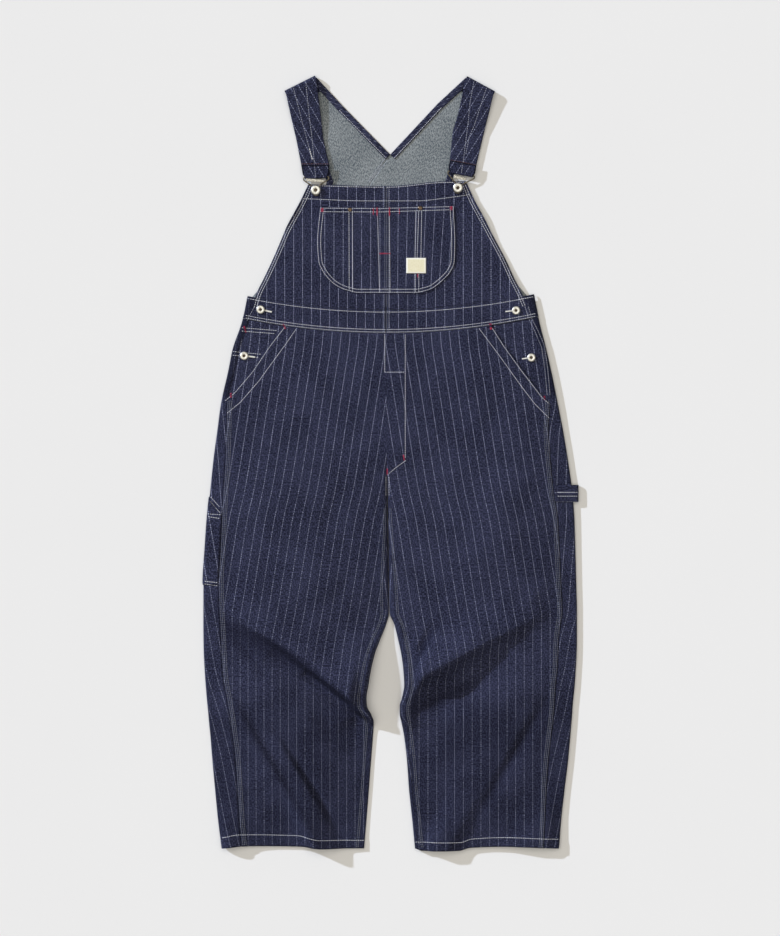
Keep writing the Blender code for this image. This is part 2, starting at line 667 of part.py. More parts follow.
for side in ("left", "right"):
    toward = inward(side)
    shoulder, tip = BACKS[side][-1], BACKS[side][6]
    neck = [(blend(tip[2], shoulder[2], share), blend(tip[3], shoulder[3], share))
            for share in (0.0, 0.5, 1.0)]
    neck.append((blend(shoulder[2], STRAPS[side][0][2], NECK_END),
                 blend(shoulder[3], STRAPS[side][0][3], NECK_END)))
    rows = binding_rows(neck, BINDING, toward)
    rows[0] = [Vector((-inward(side) * SEAM_GAP / 2, 1214.5 - 18.0 * share, CLOTH + LAYER))
               for share in steps(2)]
    rows = [row[::-1] for row in rows] if side == "left" else rows
    cloth("neck_binding_" + side, rows, denim)
    rows = binding_rows(ARMHOLE[side], BINDING, -toward)
    rows = rows if side == "left" else [row[::-1] for row in rows]
    cloth("armhole_binding_" + side, rows, denim)


# ---------------------------------------------------------------- hammer loop, tool pocket

def loop_row(y):
    """A band from the outseam out over the leg's edge, round, and in under it."""
    edge = LEGS("right_edge", y)
    depth = EDGE_DEPTHS("right_outer", y)
    seam = seam_distance("right", y)
    lies = [leg_point("right", y, seam * (1 - 0.75 * share), "top") for share in steps(3)]
    lies = [Vector((point.x, y, point.z + LAYER)) for point in lies]
    reach = LOOP_REACH - edge
    top = lies[-1].z
    rounds = [(edge + reach * 0.45, top - 0.8), (edge + reach * 0.85, top * 0.78),
              (LOOP_REACH, depth * 0.5), (edge + reach * 0.85, depth * 0.16),
              (edge + reach * 0.45, 0.0), (edge + 0.3, 0.0)]
    return lies + [Vector((x, y, z)) for x, z in rounds]


loop_heights = [blend(*LOOP_BAND, share) for share in steps(2)]
cloth("hammer_loop", [loop_row(y) for y in loop_heights], denim)


def tool_pocket_row(up):
    """A patch over the left outer edge, from the outseam to just above the ground."""
    row = []
    for share in steps(6):
        top = blend(TOOL_POCKET["top_at_seam"], TOOL_POCKET["top_at_edge"], min(share * 1.6, 1))
        y = blend(TOOL_POCKET["bottom"], top, up)
        seam = seam_distance("left", y) - 1
        if share <= 0.67:
            row.append(leg_point("left", y, seam * (1 - share / 0.67) ** 2.2, "top"))
        else:
            below = outer_radius("left", y) * 0.06 * (share - 0.67) / 0.33
            row.append(leg_point("left", y, below, "under"))
    return moved_out(row[::-1], LAYER)


cloth("tool_pocket", [tool_pocket_row(up) for up in steps(5)], denim)


# ---------------------------------------------------------------- buttons, rivets, buckles

def turned_part(name, profile, place, finish, count=16):
    """A turned piece: its profile runs down the outer side from the top of the axis."""
    mesh = bpy.data.meshes.new(name)
    x, y, z = place
    mesh.from_pydata([(r * MM, 0, h * MM) for r, h in profile],
                     [(i, i + 1) for i in range(len(profile) - 1)], [])
    piece = add_part(name, mesh, finish)
    piece.location = placed((x, y, z))
    screw = piece.modifiers.new("turn", "SCREW")
    screw.steps = count
    screw.render_steps = count
    screw.use_merge_vertices = True
    screw.merge_threshold = 0.00001
    screw.use_smooth_shade = True
    return piece


def button_profile(size, stem):
    """A donut button: a raised rim round a dished middle, on a short stem."""
    r = size / 2
    return ((0, stem + 1.5), (r * 0.3, stem + 1.4), (r * 0.55, stem + 2.6), (r * 0.82, stem + 2.8),
            (r, stem + 1.4), (r * 0.9, stem), (3.3, stem), (3.3, 0), (0, 0))


def cloth_under(x, y):
    """Outer side of whatever cloth a button sits on."""
    side = "left" if x < 0 else "right"
    if y > BAND_TOP + waist_rise(x):
        return bib_height(x, y)
    if y > WAIST + waist_rise(x):
        return front_height(x, y)
    edge = LEGS(side + "_edge", y)
    z = leg_point(side, y, abs(x - edge), "top").z
    return z - LAYER - 0.1


for name, (x, y, size) in BUTTONS.items():
    stem = 3.5 if name.startswith("bib") else 0.9
    turned_part(name, button_profile(size, stem), (x, y, cloth_under(x, y) + 0.5), nickel)

for name, (x, y) in RIVETS.items():
    r = RIVET / 2
    dome = ((0, 1.6), (r * 0.5, 1.4), (r * 0.85, 0.8), (r, 0), (0, 0))
    turned_part(name, dome, (x, y, bib_height(x, y) + LAYER + LAYER_GAP), brass, 12)


def buckle_path(side):
    """The wire's centre line: a bar in the strap's turn, two arms, and a round loop."""
    x, y, _ = BUTTONS["bib_button_" + side]
    bar = STRAPS[side][-1]
    outer = Vector((bar[0], bar[1]))
    inner = Vector((bar[2], bar[3]))
    across = (inner - outer).normalized()
    down = Vector((across.y, -across.x))
    if down.y > 0:
        down.negate()
    bar_z = STRAP_END_Z + TURN_RADIUS
    loop_z = cloth_under(x, y) + LAYER_GAP + WIRE / 2 + 0.4
    middle = (outer + inner) / 2
    reach = (inner - outer).length / 2 - 1.5
    button = Vector((x, y))
    arms = []
    for way in (across, -across):
        arms.append([
            (middle + way * reach, bar_z),
            (middle + way * (reach + 1) + down * 2.5, bar_z),
            (middle + way * (reach - 0.5) + down * 5.5, bar_z),
            (button + way * 7.5 - down * 8.5, blend(bar_z, loop_z, 0.5)),
            (button + way * LOOP_RADIUS - down * 4, loop_z),
            (button + way * LOOP_RADIUS + down, loop_z)])
    turn = [math.radians(angle) for angle in (15, 50, 90, 130, 165)]
    loop = [(button + across * LOOP_RADIUS * math.cos(angle)
             + down * (3 + LOOP_RADIUS * math.sin(angle)), loop_z) for angle in turn]
    return arms[0] + loop + arms[1][::-1]


for side in ("left", "right"):
    path = buckle_path(side)
    wire = bpy.data.curves.new("buckle_" + side, "CURVE")
    wire.dimensions = "3D"
    wire.bevel_depth = WIRE / 2 * MM
    wire.bevel_resolution = 2
    spline = wire.splines.new("POLY")
    spline.points.add(len(path) - 1)
    for point, (place, z) in zip(spline.points, path):
        point.co = (*placed((place.x, place.y, z)), 1)
    spline.use_cyclic_u = True
    add_part("buckle_" + side, wire, nickel)
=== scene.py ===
import math

import bpy
import numpy as np
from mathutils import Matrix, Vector
from mathutils.bvhtree import BVHTree


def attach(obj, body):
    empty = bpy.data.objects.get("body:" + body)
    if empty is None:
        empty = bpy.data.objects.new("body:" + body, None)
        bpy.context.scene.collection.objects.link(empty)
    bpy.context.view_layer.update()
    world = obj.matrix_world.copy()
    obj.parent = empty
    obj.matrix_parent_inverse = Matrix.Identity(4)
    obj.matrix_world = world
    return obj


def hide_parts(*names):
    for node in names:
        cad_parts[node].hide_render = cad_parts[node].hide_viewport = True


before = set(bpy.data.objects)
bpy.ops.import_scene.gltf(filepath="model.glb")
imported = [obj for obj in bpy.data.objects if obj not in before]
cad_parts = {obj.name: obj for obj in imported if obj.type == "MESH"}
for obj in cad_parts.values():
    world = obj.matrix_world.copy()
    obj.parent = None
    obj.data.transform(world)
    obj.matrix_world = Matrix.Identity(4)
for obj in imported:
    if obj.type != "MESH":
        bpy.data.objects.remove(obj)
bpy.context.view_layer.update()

bpy.ops.object.select_all(action="DESELECT")

# Dimensions are in millimetres, drawn on the garment as it lies: x across from its
# centre line, y up from the hems, z up from the surface. placed() turns them into metres.


# ------------------------------------------------------------ surface, light and camera
# The garment lies on a pale matt surface. One low, slightly blue light from the upper
# left throws short shadows, and a broad warm light above fills them. Seen from above.

SURFACE_GREY = (0.808, 0.806, 0.806)
SURFACE_SIZE = 9.0          # metres
SURFACE_DROP = 0.0004       # metres, so that it just clears the cloth's underside
LIGHTS = {                  # direction, strength, softness in degrees, colour
    "low_light": (Vector((0.80, -0.46, -0.41)), 3.17, 1.8, (0.77, 0.85, 1.0)),
    "broad_light": (Vector((0.10, -0.06, -1.0)), 1.62, 70.0, (1.0, 0.955, 0.87)),
}
ROOM = ((1.0, 0.957, 0.872), 0.205)
VIEW_CENTRE = (-0.0009, -0.00875)
VIEW_HEIGHT = 1.638         # metres of the surface from top to bottom of the view
CLOTH_LEVEL = 0.012         # the height at which that holds
LENS = 150.0
SENSOR = 36.0


def shown_from_above():
    camera = bpy.data.objects.new("camera", bpy.data.cameras.new("camera"))
    camera.data.lens = LENS
    camera.data.sensor_width = SENSOR
    away = VIEW_HEIGHT / SENSOR * LENS
    camera.location = (*VIEW_CENTRE, CLOTH_LEVEL + away)
    camera.data.clip_end = away * 3
    bpy.context.scene.collection.objects.link(camera)
    bpy.context.scene.camera = camera


def lit_from_upper_left():
    for name, (direction, strength, softness, colour) in LIGHTS.items():
        lamp = bpy.data.lights.new(name, "SUN")
        lamp.energy = strength
        lamp.angle = math.radians(softness)
        lamp.color = colour
        light = bpy.data.objects.new(name, lamp)
        light.rotation_euler = direction.to_track_quat("-Z", "Y").to_euler()
        bpy.context.scene.collection.objects.link(light)
    room = bpy.data.worlds.new("room")
    room.use_nodes = True
    room.node_tree.nodes["Background"].inputs["Color"].default_value = (*ROOM[0], 1)
    room.node_tree.nodes["Background"].inputs["Strength"].default_value = ROOM[1]
    bpy.context.scene.world = room
    bpy.context.scene.view_settings.view_transform = "Standard"


class Wire:
    """A shader socket that does arithmetic, so that a pattern reads as an expression."""

    def __init__(self, tree, socket):
        self.tree = tree
        self.socket = socket

    def math(self, operation, *others, swap=False):
        node = self.tree.nodes.new("ShaderNodeMath")
        node.operation = operation
        items = (*others, self) if swap else (self, *others)
        for place, item in zip(node.inputs, items):
            if isinstance(item, Wire):
                self.tree.links.new(item.socket, place)
            else:
                place.default_value = item
        return Wire(self.tree, node.outputs[0])

    def __add__(self, other):
        return self.math("ADD", other)

    def __mul__(self, other):
        return self.math("MULTIPLY", other)

    def __sub__(self, other):
        return self.math("SUBTRACT", other)

    def __rsub__(self, other):
        return self.math("SUBTRACT", other, swap=True)

    __rmul__ = __mul__

    def between(self, low, high, start=0.0, end=1.0):
        """start below low, end above high, and a smooth change between them."""
        node = self.tree.nodes.new("ShaderNodeMapRange")
        node.interpolation_type = "SMOOTHSTEP"
        self.tree.links.new(self.socket, node.inputs["Value"])
        for name, value in zip(("From Min", "From Max", "To Min", "To Max"), (low, high, start, end)):
            node.inputs[name].default_value = value
        return Wire(self.tree, node.outputs[0])

    def from_half(self):
        """Distance from the nearest half, where the lines of a set one apart lie."""
        return (self.math("FRACT") - 0.5).math("ABSOLUTE")


class Finish:
    """A material: one Principled shader, and one method that adds any other node."""

    def __init__(self, name, **constants):
        self.material = bpy.data.materials.new(name)
        self.material.use_nodes = True
        self.tree = self.material.node_tree
        self.shader = self.tree.nodes["Principled BSDF"]
        for socket, value in constants.items():
            self.shader.inputs[socket.replace("_", " ")].default_value = value

    def node(self, kind, output=0, settings=None, **inputs):
        made = self.tree.nodes.new("ShaderNode" + kind)
        for name, value in (settings or {}).items():
            setattr(made, name, value)
        for name, value in inputs.items():
            socket = made.inputs[name.replace("_", " ")]
            if isinstance(value, Wire):
                self.tree.links.new(value.socket, socket)
            else:
                socket.default_value = value
        return Wire(self.tree, made.outputs[output])

    def split(self, vector):
        """The x and the y of a vector."""
        x = self.node("SeparateXYZ", Vector=vector)
        return x, Wire(self.tree, x.socket.node.outputs["Y"])

    def noise(self, vector, scale, detail=2.0, roughness=0.5):
        return self.node("TexNoise", Vector=vector, Scale=scale, Detail=detail, Roughness=roughness)

    def mix(self, factor, low, high):
        """A colour between two others, each a tuple or a wire."""
        made = self.tree.nodes.new("ShaderNodeMix")
        made.data_type = "RGBA"
        for index, value in ((0, factor), (6, low), (7, high)):
            if isinstance(value, Wire):
                self.tree.links.new(value.socket, made.inputs[index])
            else:
                made.inputs[index].default_value = value if index == 0 else (*value, 1)
        return Wire(self.tree, made.outputs[2])

    def set(self, socket, wire):
        self.tree.links.new(wire.socket, self.shader.inputs[socket])

    def raised(self, height, distance, strength=1.0):
        bump = self.node("Bump", Height=height, Distance=distance, Strength=strength)
        self.set("Normal", bump)


def surface_finish():
    finish = Finish("pale_surface", Roughness=0.95, Specular_IOR_Level=0.1)
    place = finish.node("TexCoord", output=3)
    tone = finish.noise(place, 3.0).between(0.3, 0.7)
    darker = tuple(value * 0.995 for value in SURFACE_GREY)
    finish.set("Base Color", finish.mix(tone, darker, SURFACE_GREY))
    return finish.material


shown_from_above()
lit_from_upper_left()
bpy.ops.mesh.primitive_plane_add(size=SURFACE_SIZE, location=(0, 0, -SURFACE_DROP))
surface = bpy.context.object
surface.name = "surface"
surface.data.materials.append(surface_finish())


# ---------------------------------------------------------------- body and legs
# Each leg is a front and a back panel of heavy indigo twill with woven dotted stripes.
# The panels are felled together at the outseam, inseam and centre seam; the back one
# runs from the outseam round under the leg to the inseam. Worn cloth keeps its creases.

MM = 0.001
OVERALL_LENGTH = 1358.0     # strap folds to hems, as it lies
CENTRE_X = 0.5              # middle of its width, from the centre line
CLOTH = 1.1                 # heavy denim
LAYER = 1.5                 # from one layer of cloth to the next
SEAM_GAP = 0.4              # between two pieces that meet edge to edge
WAIST = 906.5               # waist seam at the centre front
WAIST_BOW = 25.5            # its rise towards the sides
BOW_START = 770.0           # the rows below the waist are straight from here down
HALF_WAIST = 250.0
CENTRE_SEAM = -7.0
CROTCH = 624.8
CROTCH_EASE = 75.0          # above the crotch, over which the legs part
LEG_CLEARANCE = 0.3         # from each leg to the line where the legs touch
EDGE_ROUND = 0.55           # radius of a folded edge, as a share of the depth,
MOST_ROUND = 8.5            # and the most that it is at an inner edge
INSEAM_TURN = 1.35          # inseam in from the inner edge, in radii of that edge
INSEAM_EASE = 210.0         # below the crotch, over which the inseam turns to the front
FRONT_TURN = 1.2            # the front panel rounds off over this many radii
POCKET_FOOT = 782.0         # the slanted pocket edges meet the outseams here
FOLD_FADE = 24.0            # creases die out this near an outer edge,
INSEAM_FADE = (14.0, 34.0)  # and between these distances from an inner one
OUTER_REACH = 0.4           # share of a leg's width that its thin outer part takes up,
INNER_REACH = 0.42          # and its inner part, below the crotch
KNEE_SLANT = 0.75           # the left knee's fold runs inwards on this slant,
KNEE_END = (255.0, 330.0)   # which it loses between these heights
HEM_FADE = 60.0             # the dips of the hems die out this far up the leg,
HEM_REACH = 120.0           # and their waves this far,
HEM_LEAN = 0.50             # leaning outwards by this much
HEM_EDGE = (16.5, 18.5)     # a hem's turned-up layer ends between these heights
HEM_RISE = 0.7
FELL = (8.5, 10.5)          # a felled seam's thick strip ends between these distances
FELL_RISE = 0.6
STRIPE = 16.0               # distance between stripes
CELL = 3.0                  # height of a row of the cloth's mesh
COLUMNS = {"front": 88, "front_turn": 10, "back_top": 16, "under": 36, "back_turn": 14,
           "facing": 24}
FLY = {"left": -7.0, "right": 27.0, "bottom": 655.0, "slant": 28.0, "rise": 0.7}


class Table:
    """Rows of sizes with named columns, read between the rows along smooth curves."""

    def __init__(self, names, rows):
        self.names = names.split()
        self.rows = np.array(rows, float)

    def __call__(self, name, place):
        x = self.rows[:, 0]
        y = self.rows[:, self.names.index(name)]
        rises = np.diff(y) / np.diff(x)
        before, after = rises[:-1], rises[1:]
        same = before * after > 0
        middle = np.where(same, 2 * before * after / np.where(same, before + after, 1), 0)
        slopes = np.concatenate([rises[:1], middle, rises[-1:]])
        place = np.clip(place, x[0], x[-1])
        low = np.clip(np.searchsorted(x, place, side="right") - 1, 0, len(x) - 2)
        step = x[low + 1] - x[low]
        share = (place - x[low]) / step
        square, cube = share ** 2, share ** 3
        return (y[low] * (2 * cube - 3 * square + 1) + y[low + 1] * (3 * square - 2 * cube)
                + slopes[low] * step * (cube - 2 * square + share)
                + slopes[low + 1] * step * (cube - square))


LEGS = Table(
    "height left_edge left_seam left_inner right_inner right_seam right_edge depth crown", (
        (0.0, -294.7, -259.0, -45.8, 43.4, 267.8, 295.4, 10.0, 2.5),
        (54.2, -301.7, -263.9, -41.3, 38.2, 271.2, 299.8, 10.5, 3.0),
        (106.8, -306.9, -267.4, -37.1, 32.7, 273.7, 305.6, 11.0, 3.5),
        (159.2, -311.8, -270.9, -33.2, 28.9, 277.4, 311.9, 12.0, 4.0),
        (203.0, -315.3, -276.0, -29.8, 23.6, 282.3, 315.9, 13.5, 4.5),
        (225.8, -317.6, -278.9, -28.5, 19.2, 285.2, 317.8, 14.5, 5.0),
        (239.8, -318.8, -281.2, -33.2, 16.3, 286.6, 318.9, 15.5, 5.0),
        (253.8, -320.2, -283.8, -40.2, 16.3, 287.7, 319.7, 15.5, 5.0),
        (267.8, -321.5, -286.1, -41.1, 20.1, 288.4, 321.1, 16.0, 5.0),
        (290.5, -323.4, -290.5, -37.6, 24.0, 289.8, 323.4, 16.0, 5.5),
        (316.8, -325.2, -293.7, -33.2, 22.6, 292.8, 325.1, 16.0, 5.5),
        (343.0, -326.6, -295.2, -27.1, 19.2, 294.0, 326.6, 16.0, 5.5),
        (369.2, -327.2, -296.4, -17.5, 13.6, 294.9, 327.2, 16.0, 5.5),
        (395.5, -327.4, -297.8, -7.0, 7.0, 298.4, 327.2, 15.5, 5.5),
        (416.5, -327.4, -299.2, -1.8, -1.2, 301.5, 327.2, 15.0, 5.5),
        (470.8, -327.2, -300.5, -2.6, -2.6, 299.2, 326.0, 14.5, 5.0),
        (526.8, -323.8, -297.5, -3.5, -3.5, 296.6, 324.6, 14.0, 5.0),
        (579.2, -320.2, -294.9, -4.4, -4.4, 294.0, 322.9, 13.5, 4.5),
        (624.8, -315.9, -292.6, -5.2, -5.2, 287.0, 319.4, 13.0, 4.5),
        (684.2, -309.8, -288.8, -6.1, -6.1, 280.9, 311.5, 12.0, 4.0),
        (736.8, -302.8, -287.0, -6.7, -6.7, 277.4, 302.8, 11.0, 4.0),
        (782.2, -296.6, -286.0, -7.0, -7.0, 280.0, 294.0, 10.0, 3.5),
        (841.8, -283.5, -273.0, -7.0, -7.0, 271.0, 281.8, 9.0, 3.0),
        (876.8, -276.5, -266.0, -7.0, -7.0, 263.4, 273.9, 8.5, 2.5),
        (929.2, -259.0, -249.0, -7.0, -7.0, 250.8, 260.8, 8.0, 2.0),
        (973.0, -250.0, -240.0, -7.0, -7.0, 242.0, 252.0, 8.0, 2.0),
    ))
# Depth of the folded edges: thin where the cloth is pressed flat, round at the knees
EDGE_DEPTHS = Table("height left_outer left_inner right_outer right_inner", (
    (0.0, 18.0, 5.0, 11.0, 9.0), (30.0, 12.0, 4.0, 9.0, 8.0), (70.0, 7.0, 3.8, 7.0, 8.0),
    (150.0, 6.0, 3.8, 6.5, 8.5), (196.0, 6.0, 4.0, 6.5, 10.0), (215.0, 6.2, 5.0, 6.5, 12.0),
    (222.0, 6.4, 17.0, 6.5, 15.0), (229.0, 6.6, 28.0, 6.5, 18.0), (250.0, 7.0, 31.0, 6.5, 22.5),
    (280.0, 7.0, 32.0, 6.5, 26.5), (310.0, 7.0, 31.0, 6.5, 26.0), (340.0, 7.0, 26.0, 6.5, 22.5),
    (360.0, 7.0, 20.0, 6.5, 20.0), (383.0, 7.2, 12.0, 6.5, 17.0), (400.0, 7.5, 7.5, 6.5, 15.5),
    (416.0, 7.6, 6.5, 6.5, 14.0), (440.0, 7.8, 9.0, 6.5, 13.0), (480.0, 8.0, 13.0, 6.5, 14.0),
    (560.0, 8.0, 13.7, 7.0, 13.7), (625.0, 8.0, 13.0, 8.0, 13.0),
    (680.0, 7.5, 12.0, 7.5, 12.0), (737.0, 7.5, 11.0, 7.5, 11.0), (782.0, 8.5, 10.0, 8.5, 10.0),
    (842.0, 9.0, 9.0, 9.0, 9.0), (929.0, 8.0, 8.0, 8.0, 8.0)))
# Height of the front at the hems, which wave where the legs' folds run out
HEM_WAVES = Table("x height", (
    (-297, 18), (-283, 20), (-258, 12.5), (-225, 6.5), (-190, 5.0), (-162, 5.0), (-150, 7.0),
    (-142, 14), (-136, 25), (-130, 31), (-122, 29.4), (-112, 24.2), (-101, 18.6), (-92, 14),
    (-84, 9.9), (-76, 7.2), (-64, 6), (-44, 5.2),
    (43, 9), (60, 17), (78, 22), (96, 21), (114, 14), (134, 8.6), (160, 7.8), (188, 9),
    (212, 13.5), (236, 17.5), (258, 17), (297, 11)))
# Dips of the hems below and above a straight line
HEMS = Table("x rise", (
    (-297, 4), (-250, 8), (-159, 7), (-110, 4), (-44, 4),
    (43, 4), (56, 0), (120, 0), (140, 5), (204, 7), (297, 4)))
# Slanted edges of the hip pockets
POCKET_EDGES = Table("height left right", (
    (783.0, -289.5, 279.7), (795.4, -283.5, 267.4), (805.4, -271.8, 260.5), (842.1, -239.8, 232.0),
    (886.4, -210.4, 199.5), (923.0, -181.0, 173.5), (940.0, -168.0, 161.0)))

# Creases: x and y of one end and of the other, how far the line between them bows, how
# fast the cloth falls off above and below it, and how high it stands (a trough is negative)
KNEES = {"left": (-290, 428, -10, 218, 4, 45, 8, 12.0),
         "right": (276, 422, -60, 240, 4, 42, 12, 11.5)}
CREASES = (
    KNEES["left"], KNEES["right"],
    (-215, 344, -10, 180, 0, 17, 42, -6.0), (-236, 384, -16, 210, 0, 10, 12, -7.0),
    (-152, 314, -20, 214, 0, 8, 9, -11.0),
    (-300, 386, -160, 326, 4, 12, 24, -4.0), (-270, 368, -214, 300, 2, 6, 9, -2.2),
    (-284, 276, -164, 76, -2, 9, 30, 6.5), (-204, 202, -86, 0, 3, 10, 34, 8.0),
    (-190, 196, -75, 2, 3, 7, 6, -5.0),
    (-200, 700, -120, 440, 10, 40, 40, 2.5), (-72, 640, -118, 560, 4, 14, 14, -2.0),
    (176, 369, -104, 218, 2, 36, 13, 10.5), (262, 376, -30, 218, 0, 18, 50, -9.5),
    (78, 398, 40, 316, 3, 7, 8, -5.0), (276, 270, 138, 36, 0, 9, 12, -4.5),
    (152, 90, 146, 8, 2, 10, 10, -2.0), (215, 690, 120, 430, -10, 40, 40, 2.5),
    (60, 640, 104, 560, 4, 14, 14, -2.0),
    # smaller ones
    (-262, 400, -160, 345, 5, 16, 12, -1.5), (-298, 200, -250, 120, 3, 9, 9, -1.2),
    (-230, 120, -196, 30, 3, 12, 12, -1.4), (-150, 260, -96, 180, 4, 14, 10, -1.3),
    (-118, 130, -60, 40, 3, 10, 10, 1.0), (-250, 560, -205, 470, 4, 18, 18, -1.2),
    (-60, 500, -120, 400, -4, 18, 18, -1.5), (-262, 700, -226, 600, 5, 16, 16, 1.1),
    (-40, 745, -96, 676, 4, 14, 14, -1.2), (-150, 860, -120, 770, 4, 20, 16, 1.0),
    (-236, 760, -196, 690, -3, 14, 18, -1.0), (-80, 600, -40, 520, 4, 13, 13, 1.1),
    (250, 210, 214, 120, 4, 12, 12, -1.4), (120, 200, 66, 120, 4, 14, 12, 1.2),
    (236, 110, 216, 24, 3, 10, 10, -1.2), (96, 96, 84, 14, 2, 9, 9, -1.2),
    (250, 560, 206, 470, -4, 18, 18, -1.2), (46, 500, 96, 430, 4, 16, 16, -1.4),
    (256, 700, 226, 610, -5, 16, 16, 1.1), (52, 720, 96, 660, -4, 13, 13, -1.1),
    (150, 860, 130, 770, 4, 20, 16, 1.0), (30, 600, 66, 500, 4, 14, 14, 1.1),
    (206, 800, 168, 730, 3, 14, 14, -1.0), (280, 480, 236, 430, 2, 12, 12, 1.2),
)
# Painted shade deep in the sharp creases, and where the right knee's fold casts its shadow. The
# columns are those of the creases, but for the last, which is how much darker the painted shade makes
# the colour.
PAINTED_SHADES = (
    (-224, 380, -12, 211, 0, 6, 7, 0.55), (-160, 330, -10, 209, 0, 6, 6, 0.6),
    (-336, 424, -120, 316, 7, 3, 30, 0.62), (-340, 408, -160, 322, 4, 12, 26, 0.3),
    (-274, 372, -208, 294, 2, 4, 7, 0.45), (-286, 406, -50, 254, 5, 8, 22, 0.2),
    (-208, 218, -56, -30, 4, 2.5, 5, 0.35), (-284, 284, -132, 36, -2, 4, 8, 0.6),
    (278, 274, 132, 28, 0, 5, 8, 0.42), (84, 400, 36, 312, 2, 6, 6, 0.9),
    (170, 304, 16, 236, -2, 12, 10, 0.7), (176, 369, -104, 218, 2, 4, 6, 0.25),
    (156, 302, 284, 342, 0, 8, 9, 0.15),
)
HIP_SHADE = 0.9             # painted shade, this much darker, on the strip beside each hip's opening, which begins between these heights
HIP_OPENING = (784.0, 800.0)    # which begins between these heights
FACING_FOOT = 771.0         # lower end of the pocket's facing
# Where the cloth swells or sinks softly: x and y, reach across and up, and height
SWELLS = (
    (-240, 640, 50, 90, 0.9), (-150, 560, 60, 60, -1.0), (-60, 700, 40, 80, 0.7),
    (-190, 480, 60, 40, 1.0), (-110, 330, 50, 40, -1.0), (-250, 300, 30, 60, -0.8),
    (-130, 60, 60, 30, 0.8), (-250, 60, 30, 40, 0.7), (-160, 820, 70, 50, 0.7),
    (230, 620, 50, 90, 0.9), (140, 570, 60, 60, -1.0), (60, 800, 40, 60, 0.7),
    (190, 480, 60, 40, 0.8), (110, 200, 50, 40, -0.8), (250, 330, 30, 60, -0.8),
    (90, 60, 50, 30, 0.8), (240, 60, 30, 40, 0.7), (160, 840, 70, 50, 0.7),
    (86, 252, 30, 20, -7.0), (128, 284, 34, 20, -3.5),
)

# The stripes of the front panels: how far they have drifted outwards by each height down
# to the knee's crease, how far they step back past it, and one's place and their spacing
DRIFT = Table("height out", (
    (240, 104), (264, 101.5), (317, 95), (369, 87.5), (422, 77.6), (474, 69), (527, 60.5),
    (579, 52), (632, 40.2), (684, 31.2), (737, 23), (789, 14.9), (842, 6.6), (885, 0), (920, -3)))
KNEE_STEP = {"left": 2.0, "right": 9.0}
FRONT_STRIPES = {"left": (-87.7, 15.8), "right": (89.6, 16.1)}
BACK_DRIFT = 0.13           # how much the stripes of the back panels lean
INDIGO = (0.0006, 0.0009, 0.0060)
FADED = (0.0470, 0.0520, 0.1040)
# colour of the painted shade in creases and beside openings
PAINTED_SHADE_INDIGO = (0.0030, 0.0034, 0.0120)
STRIPE_YARN = (0.47, 0.505, 0.71)
WEFT = (0.335, 0.36, 0.372)
FLECKS = (0.055, 0.073, 0.092)
PAINTED_FALLOFF = (-0.46, -0.36)   # between these places, in metres from the garment's middle, the cloth darkens downwards: painted falloff of the light towards the hems


def steps(count):
    """Even shares from 0 to 1."""
    return np.linspace(0.0, 1.0, count + 1)


def ease(low, high, value):
    """0 below low, 1 above high, and a smooth change between them."""
    share = np.clip((value - low) / (high - low), 0.0, 1.0)
    return share * share * (3 - 2 * share)


def blend(low, high, share):
    return low + (high - low) * share


def round_edge(distance, radius):
    """How far a round edge has dropped, from 0 to 1, at a distance in from it."""
    q = np.clip((radius - distance) / radius, 0.0, 1.0)
    return 1 - np.sqrt(1 - q * q)


def points_of(x, y, z):
    return np.stack(np.broadcast_arrays(x, y, z), axis=-1)


def in_stripes(across, along, start=0.0, spacing=STRIPE):
    """Place on the cloth, counted in stripes."""
    return np.stack(np.broadcast_arrays(across / spacing + start, along / STRIPE), axis=-1)


def inward(side):
    return 1 if side == "left" else -1


def swapped(wanted, *grids):
    """Grids with their columns in the other order, so that the cloth faces outwards."""
    return [grid[:, ::-1] if wanted else grid for grid in grids]


def creased(rows, x, y, fullness):
    """What creases add up to at points, where each runs out towards its two ends."""
    total = 0.0
    for x0, y0, x1, y1, bow, above, below, rise in rows:
        length = math.hypot(x1 - x0, y1 - y0)
        share = np.clip(((x - x0) * (x1 - x0) + (y - y0) * (y1 - y0)) / length ** 2, 0, 1)
        up = (y0 - y1, x1 - x0) if x1 > x0 else (y1 - y0, x0 - x1)
        off = ((x - x0) * up[0] + (y - y0) * up[1]) / length - bow * 4 * share * (1 - share)
        width = np.where(off > 0, above, below)
        total = total + rise * np.exp(-(off / width) ** 2) * np.sin(np.pi * share) ** fullness
    return total


def swollen(rows, x, y):
    """What soft swells add up to at points."""
    return sum(rise * np.exp(-((x - at_x) / wide) ** 2 - ((y - at_y) / high) ** 2)
               for at_x, at_y, wide, high, rise in rows)


def painted_shade(points):
    """How much painted shade darkens each point, from 0 to 1."""
    return np.clip(creased(PAINTED_SHADES, points[..., 0], points[..., 1], 0.5), 0, 1)


def puckers(distance, along, reach=7.0, rise=0.16, seed=0.0):
    """Small even gathers beside a line of stitches."""
    wave = np.sin(along / 1.45 + seed) + 0.6 * np.sin(along / 2.7 + 2 * seed + 1.3)
    return rise * wave * np.exp(-(distance / reach) ** 2)


def parting(y):
    """0 on the body, and 1 where the two legs are apart."""
    return 1 - ease(CROTCH, CROTCH + CROTCH_EASE, y)


def leg_width(side, y):
    """From a leg's outer edge to its inner edge, or on the body to the centre seam."""
    reach = (LEGS(side + "_inner", y) - LEGS(side + "_edge", y)) * inward(side)
    return reach - parting(y) * LEG_CLEARANCE


def waist_rise(x):
    """Rise of the waist seam above its height at the centre."""
    return WAIST_BOW * np.minimum(np.abs(x - CENTRE_SEAM) / HALF_WAIST, 1.05) ** 2


def row_height(side, row, across):
    """Height of a row's points, with the waist's bow and the hem's dips in it."""
    y = row + 0 * across
    for _ in range(3):
        x = LEGS(side + "_edge", y) + inward(side) * across * leg_width(side, y)
        y = row + waist_rise(x) * ease(BOW_START, WAIST, row)
    return y + HEMS("rise", x) * (1 - ease(0, HEM_FADE, row))


